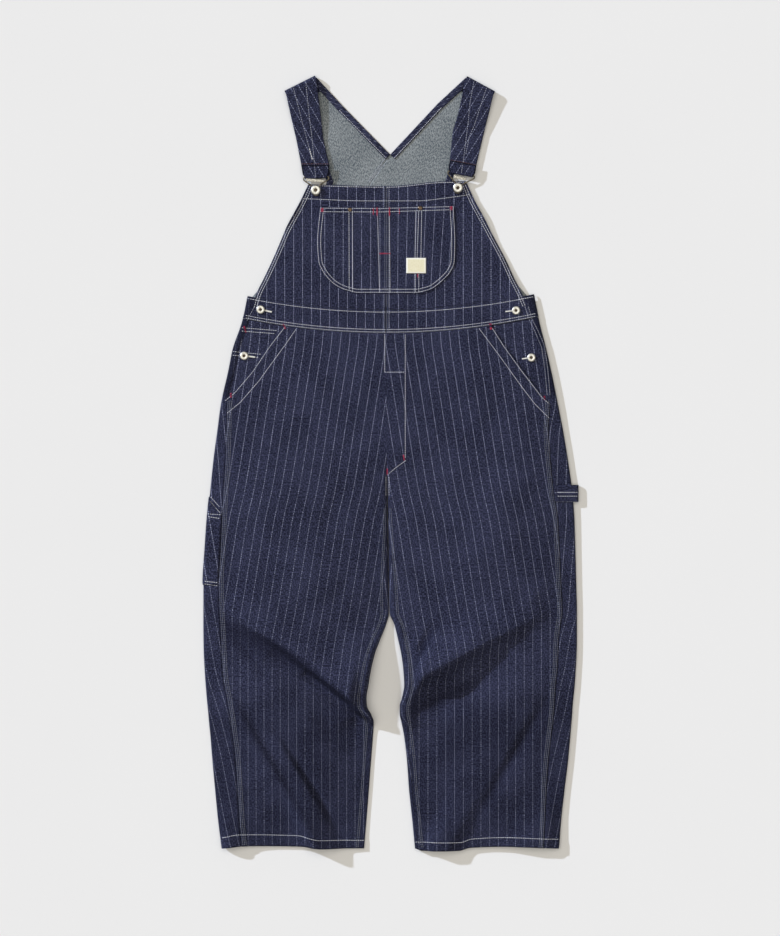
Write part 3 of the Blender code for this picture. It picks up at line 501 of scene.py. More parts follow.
def fly_lift(x, y):
    """The fly is several layers thick, with a slanted lower end."""
    foot = FLY["bottom"] + FLY["slant"] * (x - FLY["left"]) / (FLY["right"] - FLY["left"])
    return FLY["rise"] * (1 - ease(-1.5, 1.5, x - FLY["right"])) * ease(-2, 2, y - foot)


def outer_radius(side, y):
    return EDGE_ROUND * EDGE_DEPTHS(side + "_outer", y)


def inner_depth(side, y, inside_by=0.0):
    """The inner edge's depth; the left knee's fold carries it inwards on a slant."""
    if side == "left":
        y = y - KNEE_SLANT * inside_by * (1 - ease(*KNEE_END, y))
    return blend(LEGS("depth", y), EDGE_DEPTHS(side + "_inner", y), parting(y))


def inner_radius(side, y):
    return np.minimum(EDGE_ROUND * inner_depth(side, y), MOST_ROUND)


def leg_depth(side, y, across):
    """Depth of a leg: its edges' depths, and between them the middle's."""
    middle = LEGS("depth", y)
    outer = (EDGE_DEPTHS(side + "_outer", y) - middle) * (1 - ease(0, OUTER_REACH, across))
    inner = inner_depth(side, y, (1 - across) * leg_width(side, y)) - middle
    return middle + outer + inner * ease(1 - INNER_REACH, 1, across)


def leg_point(side, row, inside_by, under=False, finer=None):
    """Points on a leg's outer surface, this far in from its outer edge, on top or under."""
    across = inside_by / leg_width(side, row)
    y = row_height(side, row, across)
    width = leg_width(side, y)
    distance = across * width
    x = LEGS(side + "_edge", y) + inward(side) * distance
    depth = leg_depth(side, y, across)
    apart = parting(y)
    drop = depth / 2 * (round_edge(distance, outer_radius(side, y))
                        + apart * round_edge(width - distance, inner_radius(side, y)))
    if under:
        return points_of(x, y, drop)
    bulk = depth + LEGS("crown", y) * (1 - (1 - across) ** 3) * (1 - apart * across ** 3)
    fade = ease(0, FOLD_FADE, distance) * (1 - apart * (1 - ease(*INSEAM_FADE, width - distance)))
    waves = HEM_WAVES("height", x + inward(side) * HEM_LEAN * y)
    relief = creased(CREASES, x, y, 0.6) + swollen(SWELLS, x, y)
    relief = blend(relief, waves - bulk, 1 - ease(0, HEM_REACH, row))
    z = bulk + relief * fade - drop
    if finer:
        z = z + finer(side, x, y, distance, width)
    return points_of(x, y, z)


def seam_distance(side, row):
    """From the outer edge to the outseam, which lies on the front."""
    return (LEGS(side + "_seam", row) - LEGS(side + "_edge", row)) * inward(side)


def inner_point(side, row, turn, finer=None):
    """Points round the inner edge: -1 under it, 0 at its side, 1 and more on top."""
    radius = inner_radius(side, row)
    distance = radius * np.where(turn > 1, turn, 1 - np.cos(np.abs(turn) * np.pi / 2))
    inside_by = leg_width(side, row) - distance
    top = leg_point(side, row, inside_by, finer=finer)
    return np.where((turn > 0)[..., None], top, leg_point(side, row, inside_by, under=True))


def inseam_turn(row):
    """Where the inseam runs round the inner edge: onto the front below the crotch."""
    return INSEAM_TURN * (1 - ease(CROTCH - INSEAM_EASE, CROTCH, row))


def half_seam(side, row):
    """Half of the inseam's gap, as a turn."""
    return SEAM_GAP / 2 / (inner_radius(side, row) * np.pi / 2)


def front_distance(side, row):
    """From the outer edge to the front panel: the outseam, or the slanted pocket edge."""
    seam = seam_distance(side, row)
    pocket = seam
    for _ in range(3):
        y = row_height(side, row, pocket / leg_width(side, row))
        pocket = (POCKET_EDGES(side, y) - LEGS(side + "_edge", y)) * inward(side)
    return np.where(row > POCKET_FOOT, np.maximum(seam, pocket), seam)


def hem_finer(side, x, y, distance, width):
    """The hem's turned-up layer, and the gathers beside its stitches."""
    hem = y - HEMS("rise", x)
    return HEM_RISE * (1 - ease(*HEM_EDGE, hem)) + puckers(hem - 16, x, 6, 0.2)


def front_finer(side, x, y, distance, width):
    """The hem, thick strips at the outseam, pocket edge and fly, and their gathers."""
    edge = distance - np.maximum(seam_distance(side, y), 0)
    slant = (x - POCKET_EDGES(side, y)) * inward(side) * 0.8
    edge = np.where(y > POCKET_FOOT, np.clip(slant, 0, 40), edge)
    lift = hem_finer(side, x, y, distance, width)
    lift = lift + FELL_RISE * (1 - ease(*FELL, edge)) + puckers(edge - 5, y)
    if side == "right":
        lift = lift + fly_lift(x, y) + puckers(x - FLY["right"] + 1, y, 4, 0.1)
    else:
        lift = lift + puckers(x - CENTRE_SEAM, y, 6, 0.12) * ease(400, 620, y)
    inseam = width - distance - 12
    return lift + puckers(inseam, y, 6, 0.14, 0.7) * (1 - ease(480, 600, y))


def front_leg_points(side, rows):
    """From the outseam and pocket edge across the front, and round to the inseam."""
    row = rows[:, None]
    end = inseam_turn(row)
    first = front_distance(side, row) + SEAM_GAP / 2
    last = leg_width(side, row) - inner_radius(side, row) * (end + FRONT_TURN)
    flat = blend(first, last, steps(COLUMNS["front"]))
    turn = end + blend(FRONT_TURN, half_seam(side, row), steps(COLUMNS["front_turn"])[1:])
    return np.concatenate([leg_point(side, row, flat, finer=front_finer),
                           inner_point(side, row, turn, front_finer)], axis=1)


def back_leg_points(side, rows):
    """Outseam, outer edge, underside, inner edge, and up to the inseam."""
    row = rows[:, None]
    seam = seam_distance(side, row) - SEAM_GAP / 2
    flat = leg_width(side, row) - inner_radius(side, row)
    last = inseam_turn(row) - half_seam(side, row)
    top = leg_point(side, row, seam * (1 - steps(COLUMNS["back_top"])) ** 1.6, finer=hem_finer)
    under = leg_point(side, row, flat * steps(COLUMNS["under"])[1:] ** 1.6, under=True)
    turn = blend(-1, last, steps(COLUMNS["back_turn"])[1:])
    return np.concatenate([top, under, inner_point(side, row, turn, hem_finer)], axis=1)


def facing_points(side, rows):
    """The pocket's facing lies under the front panel and under the back's edge."""
    row = rows[:, None]
    first = seam_distance(side, row) - 3
    last = front_distance(side, row) + 12
    points = leg_point(side, row, blend(first, last, steps(COLUMNS["facing"])))
    return points - np.array([0, 0, LAYER + 0.1])


def front_grain(side, points):
    """Stripe count and distance along the stripes: they drift outwards down to the knee."""
    x, y = points[..., 0], points[..., 1]
    x0, y0, x1, y1 = KNEES[side][:4]
    share = np.clip((x - x0) / (x1 - x0), 0, 1)
    crest = y0 + (y1 - y0) * share
    drift = DRIFT("out", np.maximum(y, crest))
    drift = drift - KNEE_STEP[side] * np.clip(share * 1.25, 0, 1) * ease(2, 26, crest - y)
    at, spacing = FRONT_STRIPES[side]
    return in_stripes(x + inward(side) * drift - at, y, 0.5, spacing)


def back_grain(points):
    """On a back panel the stripes are counted round the leg from the outseam."""
    apart = np.linalg.norm(np.diff(points, axis=1), axis=-1)
    round_leg = np.pad(np.cumsum(apart, axis=1), ((0, 0), (1, 0)))
    y = points[..., 1]
    return in_stripes(round_leg - BACK_DRIFT * y, y, 0.3)


def placed(points):
    """Drawn points in metres, in the part's frame."""
    return (np.asarray(points, float) - [CENTRE_X, OVERALL_LENGTH / 2, 0]) * MM


def thread_of_cloth(finish, u, v):
    """The twill: a fine diagonal line of pale weft, and slubs that run along the warp."""
    twill = ((u + v) * 15.0).from_half()
    slub = finish.noise(finish.node("CombineXYZ", X=u * 9.5, Y=v * 5.0), 1.0, 1.0, 0.4)
    return twill, slub


def cloth_place(finish):
    """Place on the cloth, across and along it; denim's is counted in stripes."""
    place = finish.node("UVMap", settings={"uv_map": "grain"})
    return place, *finish.split(place)


def denim_finish(name, base=INDIGO, worn=FADED, stripe=1.0):
    """The right side: indigo warp, with a pale pinstripe of woven dots."""
    finish = Finish(name, Roughness=0.9, Specular_IOR_Level=0.12)
    place, u, v = cloth_place(finish)
    object_place = finish.node("TexCoord", output=3)
    _, along = finish.split(object_place)
    twill, slub = thread_of_cloth(finish, u, v)
    speckle = finish.noise(place, 22.0, 2.0, 0.7)
    patches = finish.noise(object_place, 16.0, 3.0, 0.55)
    # worn paler on the slubs, in soft patches and in specks; paler above the knees and darker towards
    # the hems as painted falloff of the light
    wear_and_falloff = slub.between(0.44, 0.60) * along.between(*PAINTED_FALLOFF, 0.5, 0.7)
    wear_and_falloff = patches.between(0.34, 0.66) * 0.16 + wear_and_falloff
    wear_and_falloff = wear_and_falloff + speckle.between(0.35, 0.75) * 0.1 + along.between(*PAINTED_FALLOFF, 0.055, 0.085)
    # painted shade: this attribute darkens the creases, the strips beside the hips' openings and the
    # band's ends
    fold = finish.node("Attribute", output=2, settings={"attribute_name": "painted_shade"})
    cloth_colour = finish.mix(fold * 0.62, finish.mix(wear_and_falloff, base, worn), PAINTED_SHADE_INDIGO)
    # each stripe is a line of dots, which start at another place on the next one
    line = u.from_half().between(0.015, 0.036, 1.0, 0.0)
    dots = (v * 4.1 + 0.37 * u.math("FLOOR")).from_half().between(0.16, 0.3, 1.0, 0.0)
    uneven = finish.noise(finish.node("CombineXYZ", X=u.math("FLOOR") * 3.7, Y=v), 4.0, 3.0, 0.65)
    mark = line * (dots * 0.92 + 0.12) * uneven.between(0.36, 0.64, 0.2, 1.15) * stripe
    # the stripes grow dimmer towards the hems, and the painted crease shade hides them
    mark = mark * along.between(-0.55, 0.30, 0.56, 1.14) * (1 - fold * 0.85)
    finish.set("Base Color", finish.mix(mark, cloth_colour, STRIPE_YARN))
    finish.set("Roughness", speckle.between(0.2, 0.8, 0.82, 0.96))
    height = twill * 0.7 + slub * 0.9 + speckle * 0.6 + mark * 0.8
    finish.raised(height, 0.00035, 0.55)
    return finish.material


def wrong_side_finish():
    """The wrong side: mostly undyed weft, flecked with indigo."""
    finish = Finish("denim_wrong_side", Roughness=0.95, Specular_IOR_Level=0.1)
    place, u, v = cloth_place(finish)
    object_place = finish.node("TexCoord", output=3)
    twill, slub = thread_of_cloth(finish, u, v)
    speckle = finish.noise(place, 19.0, 2.0, 0.75)
    patches = finish.noise(object_place, 14.0, 3.0, 0.5)
    tone = speckle.between(0.36, 0.64) * 0.4 + slub.between(0.34, 0.66) * 0.5
    tone = tone + patches.between(0.3, 0.7) * 0.15 - 0.03
    finish.set("Base Color", finish.mix(tone.between(0.0, 1.0), FLECKS, WEFT))
    finish.raised(twill * 0.7 + slub + speckle, 0.00035, 0.6)
    return finish.material


denim = denim_finish("striped_denim_twill")
wrong_side = wrong_side_finish()
cloth_pieces = []


def finish_wall(piece, wall):
    """Thickens a sheet inwards, with its second material on the inside."""
    bpy.context.view_layer.objects.active = piece
    solid = piece.modifiers.new("wall", "SOLIDIFY")
    solid.thickness = wall * MM
    solid.offset = -1
    solid.use_even_offset = True
    solid.use_quality_normals = True
    solid.material_offset = 1
    bpy.ops.object.modifier_apply(modifier="wall")


def cloth(name, points, grain, dark=None, wall=CLOTH, front=denim, behind=wrong_side):
    """A wall of cloth: a grid of points on its right side, thickened inwards."""
    rows, columns = points.shape[:2]
    corner = np.arange(rows * columns).reshape(rows, columns)
    faces = np.stack([corner[:-1, :-1], corner[:-1, 1:], corner[1:, 1:], corner[1:, :-1]], axis=-1)
    mesh = bpy.data.meshes.new(name)
    mesh.from_pydata(placed(points).reshape(-1, 3), [], faces.reshape(-1, 4).tolist())
    ends = np.zeros(len(mesh.loops), int)
    mesh.loops.foreach_get("vertex_index", ends)
    layer = mesh.uv_layers.new(name="grain")
    layer.data.foreach_set("uv", grain.reshape(-1, 2)[ends].ravel())
    if dark is not None:
        mesh.attributes.new("painted_shade", "FLOAT", "POINT").data.foreach_set("value", dark.ravel())
    mesh.shade_smooth()
    piece = bpy.data.objects.new(name, mesh)
    mesh.materials.append(front)
    mesh.materials.append(behind)
    bpy.context.scene.collection.objects.link(piece)
    finish_wall(piece, wall)
    cloth_pieces.append(piece)
    return piece


def sewn_in(piece, node, rests_on):
    """Fixes a piece of cloth to the garment, and hides the part from model.glb that it stands for."""
    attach(piece, "root")
    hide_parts(node)


leg_rows = np.linspace(0, WAIST - SEAM_GAP / 2, round(WAIST / CELL) + 1)
facing_rows = np.linspace(FACING_FOOT, WAIST - SEAM_GAP / 2, 40)
for side in ("left", "right"):
    points = front_leg_points(side, leg_rows)
    grids = swapped(side == "right", points, front_grain(side, points), painted_shade(points))
    piece = cloth("front_leg_cloth_" + side, *grids)
    sewn_in(piece, "front_leg_" + side, ["back_leg_" + side])
    points = back_leg_points(side, leg_rows)
    # painted shade on the back panel's strip beside the hip's opening
    shade = np.zeros(points.shape[:2])
    shade[:, :COLUMNS["back_top"] + 2] = HIP_SHADE * ease(*HIP_OPENING, leg_rows)[:, None]
    grids = swapped(side == "left", points, back_grain(points), shade)
    piece = cloth("back_leg_cloth_" + side, *grids)
    sewn_in(piece, "back_leg_" + side, ["surface"])
    points = facing_points(side, facing_rows)
    piece = cloth("pocket_facing_cloth_" + side,
                  *swapped(side == "right", points, front_grain(side, points)))
    sewn_in(piece, "pocket_facing_" + side, ["back_leg_" + side])


# ---------------------------------------------------------------- waistband and bib
# The waistband is a folded band on each half, seamed at the centre; its side ends stay
# free and button onto the back. The bib is two panels felled together at the centre and
# hemmed at its sides and, deeper, at its top. A rounded pocket is sewn onto it.

BAND_TOP = 947.6            # at the centre
BAND_WIDTH = 41.0
BAND_EDGE_Z = 3.0           # height of the band's free ends
BIB_ROUND = 6.0             # radius of the bib's and the band's side edges
BIB_EASE = 45.0             # above the band, over which the bib's edges take their height
FELL_MIDDLE = -6.5          # the centre's felled seam
# The bib's sides, its height above the surface and that of its side edges
BIB = Table("height left right rise edge", (
    (947.6, -243.0, 243.0, 10.0, 4.0), (976.0, -234.0, 230.5, 9.6, 8.0),
    (1005.0, -220.0, 216.0, 8.6, 6.0), (1034.0, -206.5, 203.0, 7.6, 3.2),
    (1060.0, -195.2, 189.4, 6.8, 3.2), (1086.8, -183.8, 175.0, 6.2, 5.8),
    (1115.0, -168.5, 159.8, 5.8, 8.0), (1139.0, -155.8, 147.0, 5.4, 6.8),
    (1175.0, -139.5, 131.5, 5.0, 4.6)))
BIB_TOP = Table("x height", ((-144, 1167.0), (-5, 1164.0), (100, 1172.5), (134, 1172.5)))
BIB_POCKET_SPAN = (975.6, 1126.0)
BIB_POCKET = Table("height left right", (
    (975.6, -60.0, 50.0), (982.0, -83.0, 72.0), (990.0, -98.0, 84.0), (1000.0, -109.0, 95.5),
    (1012.0, -118.5, 106.0), (1031.0, -127.0, 114.0), (1066.8, -129.3, 115.2),
    (1126.0, -124.2, 112.4)))
POCKET_TOP = Table("x rise", ((-124, 0.0), (-20, 0.6), (112, 2.6)))
BIB_HEM = Table("x height", (
    (-154, 1142.2), (-41.1, 1138.2), (48.3, 1138.2), (95, 1143.0), (141, 1149.4)))
# One stripe's place, and their spacing
BIB_STRIPES = {"left": (-27.8, 15.7), "right": (14.5, 16.2)}
POCKET_STRIPES = (-98.5, 16.1)
POCKET_LEAN = 0.067         # the pocket's stripes lean on its right side
SIDE_HEM = 12.0
# Painted shade on the band outside the bib's sides: x and y on the
# line where that begins, and how far this line goes outwards on its way down
BAND_SHADE_START = {"left": (-234.0, 957.0, 0.5), "right": (236.0, 966.0, 0.28)}
BIB_SWELLS = (
    (-170, 1010, 26, 60, 0.7), (-140, 1080, 10, 50, -0.5), (-200, 985, 30, 18, -0.5),
    (150, 1060, 14, 50, 0.6), (180, 1000, 22, 40, -0.6), (132, 1000, 10, 40, 0.5),
    (-60, 958, 60, 12, 0.5), (70, 957, 70, 12, 0.5), (20, 1152, 60, 10, 0.4),
    (-90, 1150, 30, 9, 0.4), (90, 1010, 20, 40, 0.5), (-60, 1050, 30, 50, 0.6),
    (0, 1060, 16, 50, -0.4), (60, 1070, 26, 40, 0.4),
)


def front_height(x, y):
    """Height of the band and bib above the surface, lower towards the sides."""
    return BIB("rise", y) - 2 * np.minimum(np.abs(x) / HALF_WAIST, 1) ** 3


def centre_fell(x, y):
    """The thick strip of the centre seam, and the gathers beside its stitches."""
    off = np.abs(x - FELL_MIDDLE)
    return FELL_RISE * (1 - ease(3.4, 4.6, off)) + puckers(off - 3, y, 4, 0.12)


def band_points(side, share, up):
    """Points on the waistband: a share of the way to the centre seam, and up it."""
    end = LEGS(side + "_edge", WAIST + WAIST_BOW + up * (BAND_TOP - WAIST))
    x = end + (CENTRE_SEAM - end) * share
    y = WAIST + SEAM_GAP / 2 + up * (BAND_TOP - WAIST - SEAM_GAP) + waist_rise(x)
    z = front_height(x, y)
    z = z - (z - BAND_EDGE_Z) * round_edge(np.abs(x - end), BIB_ROUND)
    low, high = up * BAND_WIDTH, (1 - up) * BAND_WIDTH
    z = z + 0.5 - 0.6 * round_edge(np.minimum(low, high), 1.3) + centre_fell(x, y)
    z = z + puckers(low - 4, x, 5, 0.13) + puckers(high - 4.5, x, 4, 0.12, 2.0)
    return points_of(x, y, z + swollen(BIB_SWELLS, x, y) * 0.6)


def bib_height(x, y):
    """Height of the bib, with its hems' layers and the gathers beside its stitches."""
    near = np.minimum(x - BIB("left", y), BIB("right", y) - x)
    lift = ease(0, BIB_EASE, y - BAND_TOP - waist_rise(x))
    z = front_height(x, y)
    z = z - (z - BIB("edge", y)) * round_edge(np.maximum(near, 0), BIB_ROUND) * lift
    hem = BIB_HEM("height", x) - y
    z = z + 0.6 * (1 - ease(SIDE_HEM - 1.5, SIDE_HEM, near)) + 0.6 * (1 - ease(-0.8, 0.8, hem))
    z = z + puckers(near - 5, y, 5, 0.14) + puckers(hem - 1, x, 5, 0.14)
    return z + centre_fell(x, y) + swollen(BIB_SWELLS, x, y)


def bib_points(side, share, up):
    """Points on the bib: a share of the way to the centre seam, and up it."""
    end = BIB(side, BAND_TOP + up * (BIB_TOP("height", 0) - BAND_TOP))
    for _ in range(4):
        low = BAND_TOP + SEAM_GAP / 2 + waist_rise(end)
        y = low + up * (BIB_TOP("height", end) - low)
        end = BIB(side, y)
    x = end + (CENTRE_SEAM - end) * share
    low = BAND_TOP + SEAM_GAP / 2 + waist_rise(x)
    y = low + up * (BIB_TOP("height", x) - low)
    return points_of(x, y, bib_height(x, y))


def half(side, point_at, across, ups):
    """One half, from its side edge to the centre seam, in columns from left to right."""
    points = point_at(side, steps(across)[None, :] ** 1.25, np.asarray(ups)[:, None])
    points[:, -1, 0] -= inward(side) * SEAM_GAP / 2
    return swapped(side == "right", points)[0]


def bib_grain(side, points):
    """Stripe count and distance along the stripes, which run straight up."""
    at, spacing = BIB_STRIPES[side]
    return in_stripes(points[..., 0] - at, points[..., 1], 0.5, spacing)


def band_shade(side, points):
    """Painted shade on the band's ends, outside the bib."""
    at_x, at_y, slant = BAND_SHADE_START[side]
    beyond = (at_x - points[..., 0]) * inward(side) - slant * (at_y - points[..., 1])
    return HIP_SHADE * ease(-1, 1.5, beyond)


def from_outline(points):
    """Distance of each point of a grid from the grid's outline."""
    edge = np.concatenate([points[0], points[-1], points[:, 0], points[:, -1]])[:, :2]
    flat = points.reshape(-1, 3)[:, :2]
    near = [np.sqrt(((flat[i:i + 2000, None] - edge[None]) ** 2).sum(axis=2).min(axis=1))
            for i in range(0, len(flat), 2000)]
    return np.concatenate(near).reshape(points.shape[:2])


band_ups = np.concatenate([[0, 0.008, 0.02], np.linspace(0.04, 0.96, 16), [0.98, 0.992, 1]])
bib_ups = np.concatenate([[0, 0.003], np.linspace(0.008, 0.993, 88), [0.997, 1]])
for side in ("left", "right"):
    points = half(side, band_points, 84, band_ups)
    piece = cloth("waistband_cloth_" + side, points, bib_grain(side, points),
                  band_shade(side, points))
    sewn_in(piece, "waistband_" + side, ["back_cloth_" + side])
    points = half(side, bib_points, 84, bib_ups)
    piece = cloth("bib_cloth_" + side, points, bib_grain(side, points))
    sewn_in(piece, "bib_" + side, ["back_cloth_" + side])

pocket_y = blend(*BIB_POCKET_SPAN, steps(76)[:, None] ** 1.35)
pocket_x = blend(BIB_POCKET("left", pocket_y), BIB_POCKET("right", pocket_y), steps(92))
pocket_y = pocket_y + POCKET_TOP("rise", pocket_x) * ease(1040, BIB_POCKET_SPAN[1], pocket_y)
pocket = points_of(pocket_x, pocket_y, bib_height(pocket_x, pocket_y) + LAYER)
edge = from_outline(pocket)
pocket[..., 2] += (0.35 - 0.7 * round_edge(edge, 1.4) + 0.3 * (1 - ease(8.5, 10, edge))
                   + puckers(edge - 5, pocket_x + pocket_y, 5, 0.14))
at, spacing = POCKET_STRIPES
lean = POCKET_LEAN * np.clip(pocket_x / 88, 0, 1.2) * (BIB_POCKET_SPAN[1] - pocket_y)
piece = cloth("bib_pocket_cloth", pocket, in_stripes(pocket_x + lean - at, pocket_y, 0.5, spacing))
sewn_in(piece, "bib_pocket", ["bib_cloth_left", "bib_cloth_right"])


# ---------------------------------------------------------------- back halves and straps
# Each half of the back is cut in one with its strap, which folds forward over the
# shoulder; the strap is lined with the same denim and its end turns round the buckle's
# bar and is sewn down. The back's wrong side shows inside, bound at the neck and armhole.

BACK_WAIST_GAP = 1.2        # from the back leg's upper edge to the back
STRAP_FOLD_RADIUS = 6.0     # the fold at the shoulder
FOLD_STEPS = 16
STRAP_COLUMNS = 44
STRAP_END_Z = 5.6           # height of the strap at the buckle
STRAP_HEIGHTS = (8.6, 5.3, STRAP_END_Z)
WIRE = 2.4                  # the buckle's wire
TURN_RADIUS = WIRE / 2 + 0.4
TURN_INSET = 3.0            # the strap's turned end is narrower by this on each side
LINED_ROWS = 4              # rows of the back, up to the fold, that the lining covers
EDGE_FROM = 8               # row of the turned end from which its edges are plain and dark
# Rows up each half of the back: x and y of the row's outer end and of its inner end
BACKS = {
    "left": (
        (-258.5, WAIST + WAIST_BOW, -7.0, WAIST), (-242.0, 969.5, -7.0, 964.0),
        (-190.0, 1030.8, -10.5, 1030.8), (-154.0, 1086.8, -21.0, 1083.0),
        (-118.0, 1146.0, -35.0, 1142.8), (-111.0, 1174.0, -35.0, 1169.0),
        (-126.0, 1223.0, 0.0, 1219.5), (-142.0, 1261.8, -36.8, 1256.0),
        (-162.8, 1296.8, -82.3, 1303.5)),
    "right": (
        (260.0, WAIST + WAIST_BOW, -7.0, WAIST), (242.0, 969.5, -7.0, 964.0),
        (188.0, 1030.8, -10.5, 1030.8), (155.0, 1086.8, -21.0, 1083.0),
        (115.5, 1146.0, -35.0, 1142.8), (106.8, 1174.0, -35.0, 1169.0),
        (125.5, 1223.0, 0.0, 1219.5), (141.8, 1261.8, 36.8, 1258.5),
        (162.8, 1296.8, 83.0, 1308.5)),
}
# The same down the strap, from the fold to the bar
STRAPS = {
    "left": ((-185.3, 1331.0, -132.0, 1357.6), (-173.5, 1284.0, -121.0, 1284.0),
             (-164.9, 1247.8, -117.3, 1247.8), (-155.8, 1200.7, -106.5, 1200.7),
             (-152.0, 1178.5, -107.5, 1180.5)),
    "right": ((183.8, 1330.0, 134.8, 1356.6), (172.5, 1290.0, 119.0, 1290.0),
              (164.3, 1257.0, 110.0, 1261.8), (150.8, 1200.5, 104.5, 1208.9),
              (148.0, 1181.0, 101.0, 1190.5)),
}
STRAP_STRIPES = {"left": 0.58, "right": -0.63}     # their lean on the strap
STRAP_STITCHES = {
    "left": (
        ((-169.4, 1335.3), (-153.5, 1274), (-141.8, 1230.3), (-136.5, 1209.3)),
        ((-148.2, 1349.3), (-141.4, 1282.8), (-136.9, 1247.8), (-132.5, 1200.5), (-130.4, 1179.5))),
    "right": (
        ((146.6, 1346.8), (139.5, 1309.2), (136.5, 1274.9), (132.5, 1243.6), (128.6, 1212.4),
         (123.9, 1182.7)),
        ((168.5, 1335.8), (155.9, 1296.8), (146.7, 1268.8), (138.8, 1251.4), (132.5, 1220.1))),
}
BINDING = 11.5              # width of the bindings
NECK_END = 0.95             # share of the way from the shoulder's row to its fold
ARMHOLE = {
    "left": ((-150.0, 1096.0), (-118.0, 1146.0), (-111.0, 1172.0), (-118.0, 1190.0), (-132.0, 1223.0)),
    "right": ((153.0, 1096.0), (115.5, 1146.0), (107.5, 1172.0), (114.0, 1190.0), (128.0, 1223.0)),
}


def from_line(x, y, line):
    """Distance of points from a line through several places."""
    near = np.full(np.broadcast(x, y).shape, 1e9)
    for (x0, y0), (x1, y1) in zip(line, line[1:]):
        length = (x1 - x0) ** 2 + (y1 - y0) ** 2
        share = np.clip(((x - x0) * (x1 - x0) + (y - y0) * (y1 - y0)) / length, 0, 1)
        near = np.minimum(near, np.hypot(x - x0 - share * (x1 - x0), y - y0 - share * (y1 - y0)))
    return near


def refined(rows, spacing, axis=0):
    """Rows with straight-line rows added between them, no further apart than spacing."""
    rows = np.asarray(rows, float)
    apart = np.linalg.norm(np.diff(rows, axis=axis), axis=-1).max(axis=1 - axis)
    places = [0.0]
    for i, length in enumerate(apart):
        places += (i + steps(max(1, math.ceil(length / spacing)))[1:]).tolist()
    low = np.minimum(np.floor(places).astype(int), len(apart) - 1)
    share = (np.array(places) - low).reshape([-1, 1, 1] if axis == 0 else [1, -1, 1])
    return np.take(rows, low, axis) * (1 - share) + np.take(rows, low + 1, axis) * share


def ruled_row(ends, z, inset=0.0):
    """A straight row of points between two ends, all at one height."""
    outer = np.array([ends[0], ends[1], z])
    inner = np.array([ends[2], ends[3], z])
    along = (inner - outer) / np.linalg.norm(inner - outer) * inset
    share = steps(STRAP_COLUMNS)[:, None]
    return (outer + along) * (1 - share) + (inner - along) * share


def square_to(ends):
    """Direction square to a line between two ends, up the garment."""
    out = np.array([ends[1] - ends[3], ends[2] - ends[0]])
    out = out / np.linalg.norm(out)
    return -out if out[1] < 0 else out


def turned(ends, centre_z, radius, start, stop, count, inset=0.0):
    """Rows round a fold whose line runs between two ends."""
    rows = []
    for angle in np.radians(start + (stop - start) * steps(count)):
        shift = square_to(ends) * radius * math.cos(angle)
        moved = np.array(ends) + np.tile(shift, 2)
        rows.append(ruled_row(moved, centre_z + radius * math.sin(angle), inset=inset))
    return rows


def back_rows_of(side):
    """Rows up the back, then round the shoulder fold, down the strap and round the bar."""
    back = []
    for ends in BACKS[side]:
        outer_x, outer_y, inner_x, inner_y = ends
        seam = SEAM_GAP / 2 * inward(side) if inner_y < 1220 else 0.0
        back.append(ruled_row((outer_x, outer_y, inner_x - seam, inner_y), 0.0))
    back[0][:, 1] = WAIST + BACK_WAIST_GAP + waist_rise(back[0][:, 0])
    fold, *front, bar = STRAPS[side]
    axis = np.array(fold) - np.tile(square_to(fold), 2) * STRAP_FOLD_RADIUS
    shoulder = turned(axis, STRAP_FOLD_RADIUS, STRAP_FOLD_RADIUS, -90, 90, FOLD_STEPS)
    strap = [ruled_row(ends, z) for ends, z in zip(front, STRAP_HEIGHTS)]
    end = turned(bar, STRAP_END_Z + TURN_RADIUS, TURN_RADIUS, -90, -270, 12, TURN_INSET)
    top_z = STRAP_END_Z + 2 * TURN_RADIUS
    last = front[-1]
    end.append(ruled_row([a + (b - a) * 0.25 for a, b in zip(bar, last)], top_z))
    end.append(ruled_row(last, top_z))
    return np.array(back), np.array(shoulder), np.array(strap), np.array(end)


def strap_relief(side, points):
    """The strap's rounded edges, and the dips of its long stitches."""
    x, y = points[..., 0], points[..., 1]
    near = np.minimum(np.linalg.norm(points - points[:, :1], axis=-1),
                      np.linalg.norm(points - points[:, -1:], axis=-1))
    dips = sum(np.exp(-(from_line(x, y, line) / 2.2) ** 2) for line in STRAP_STITCHES[side])
    wave = 0.25 * np.sin(y / 11.0 + x / 17.0) + 0.2 * np.sin(y / 4.3 - x / 9.0)
    return 0.5 - 0.9 * round_edge(near, 2.6) - 0.35 * dips + wave * ease(0, 8, near)


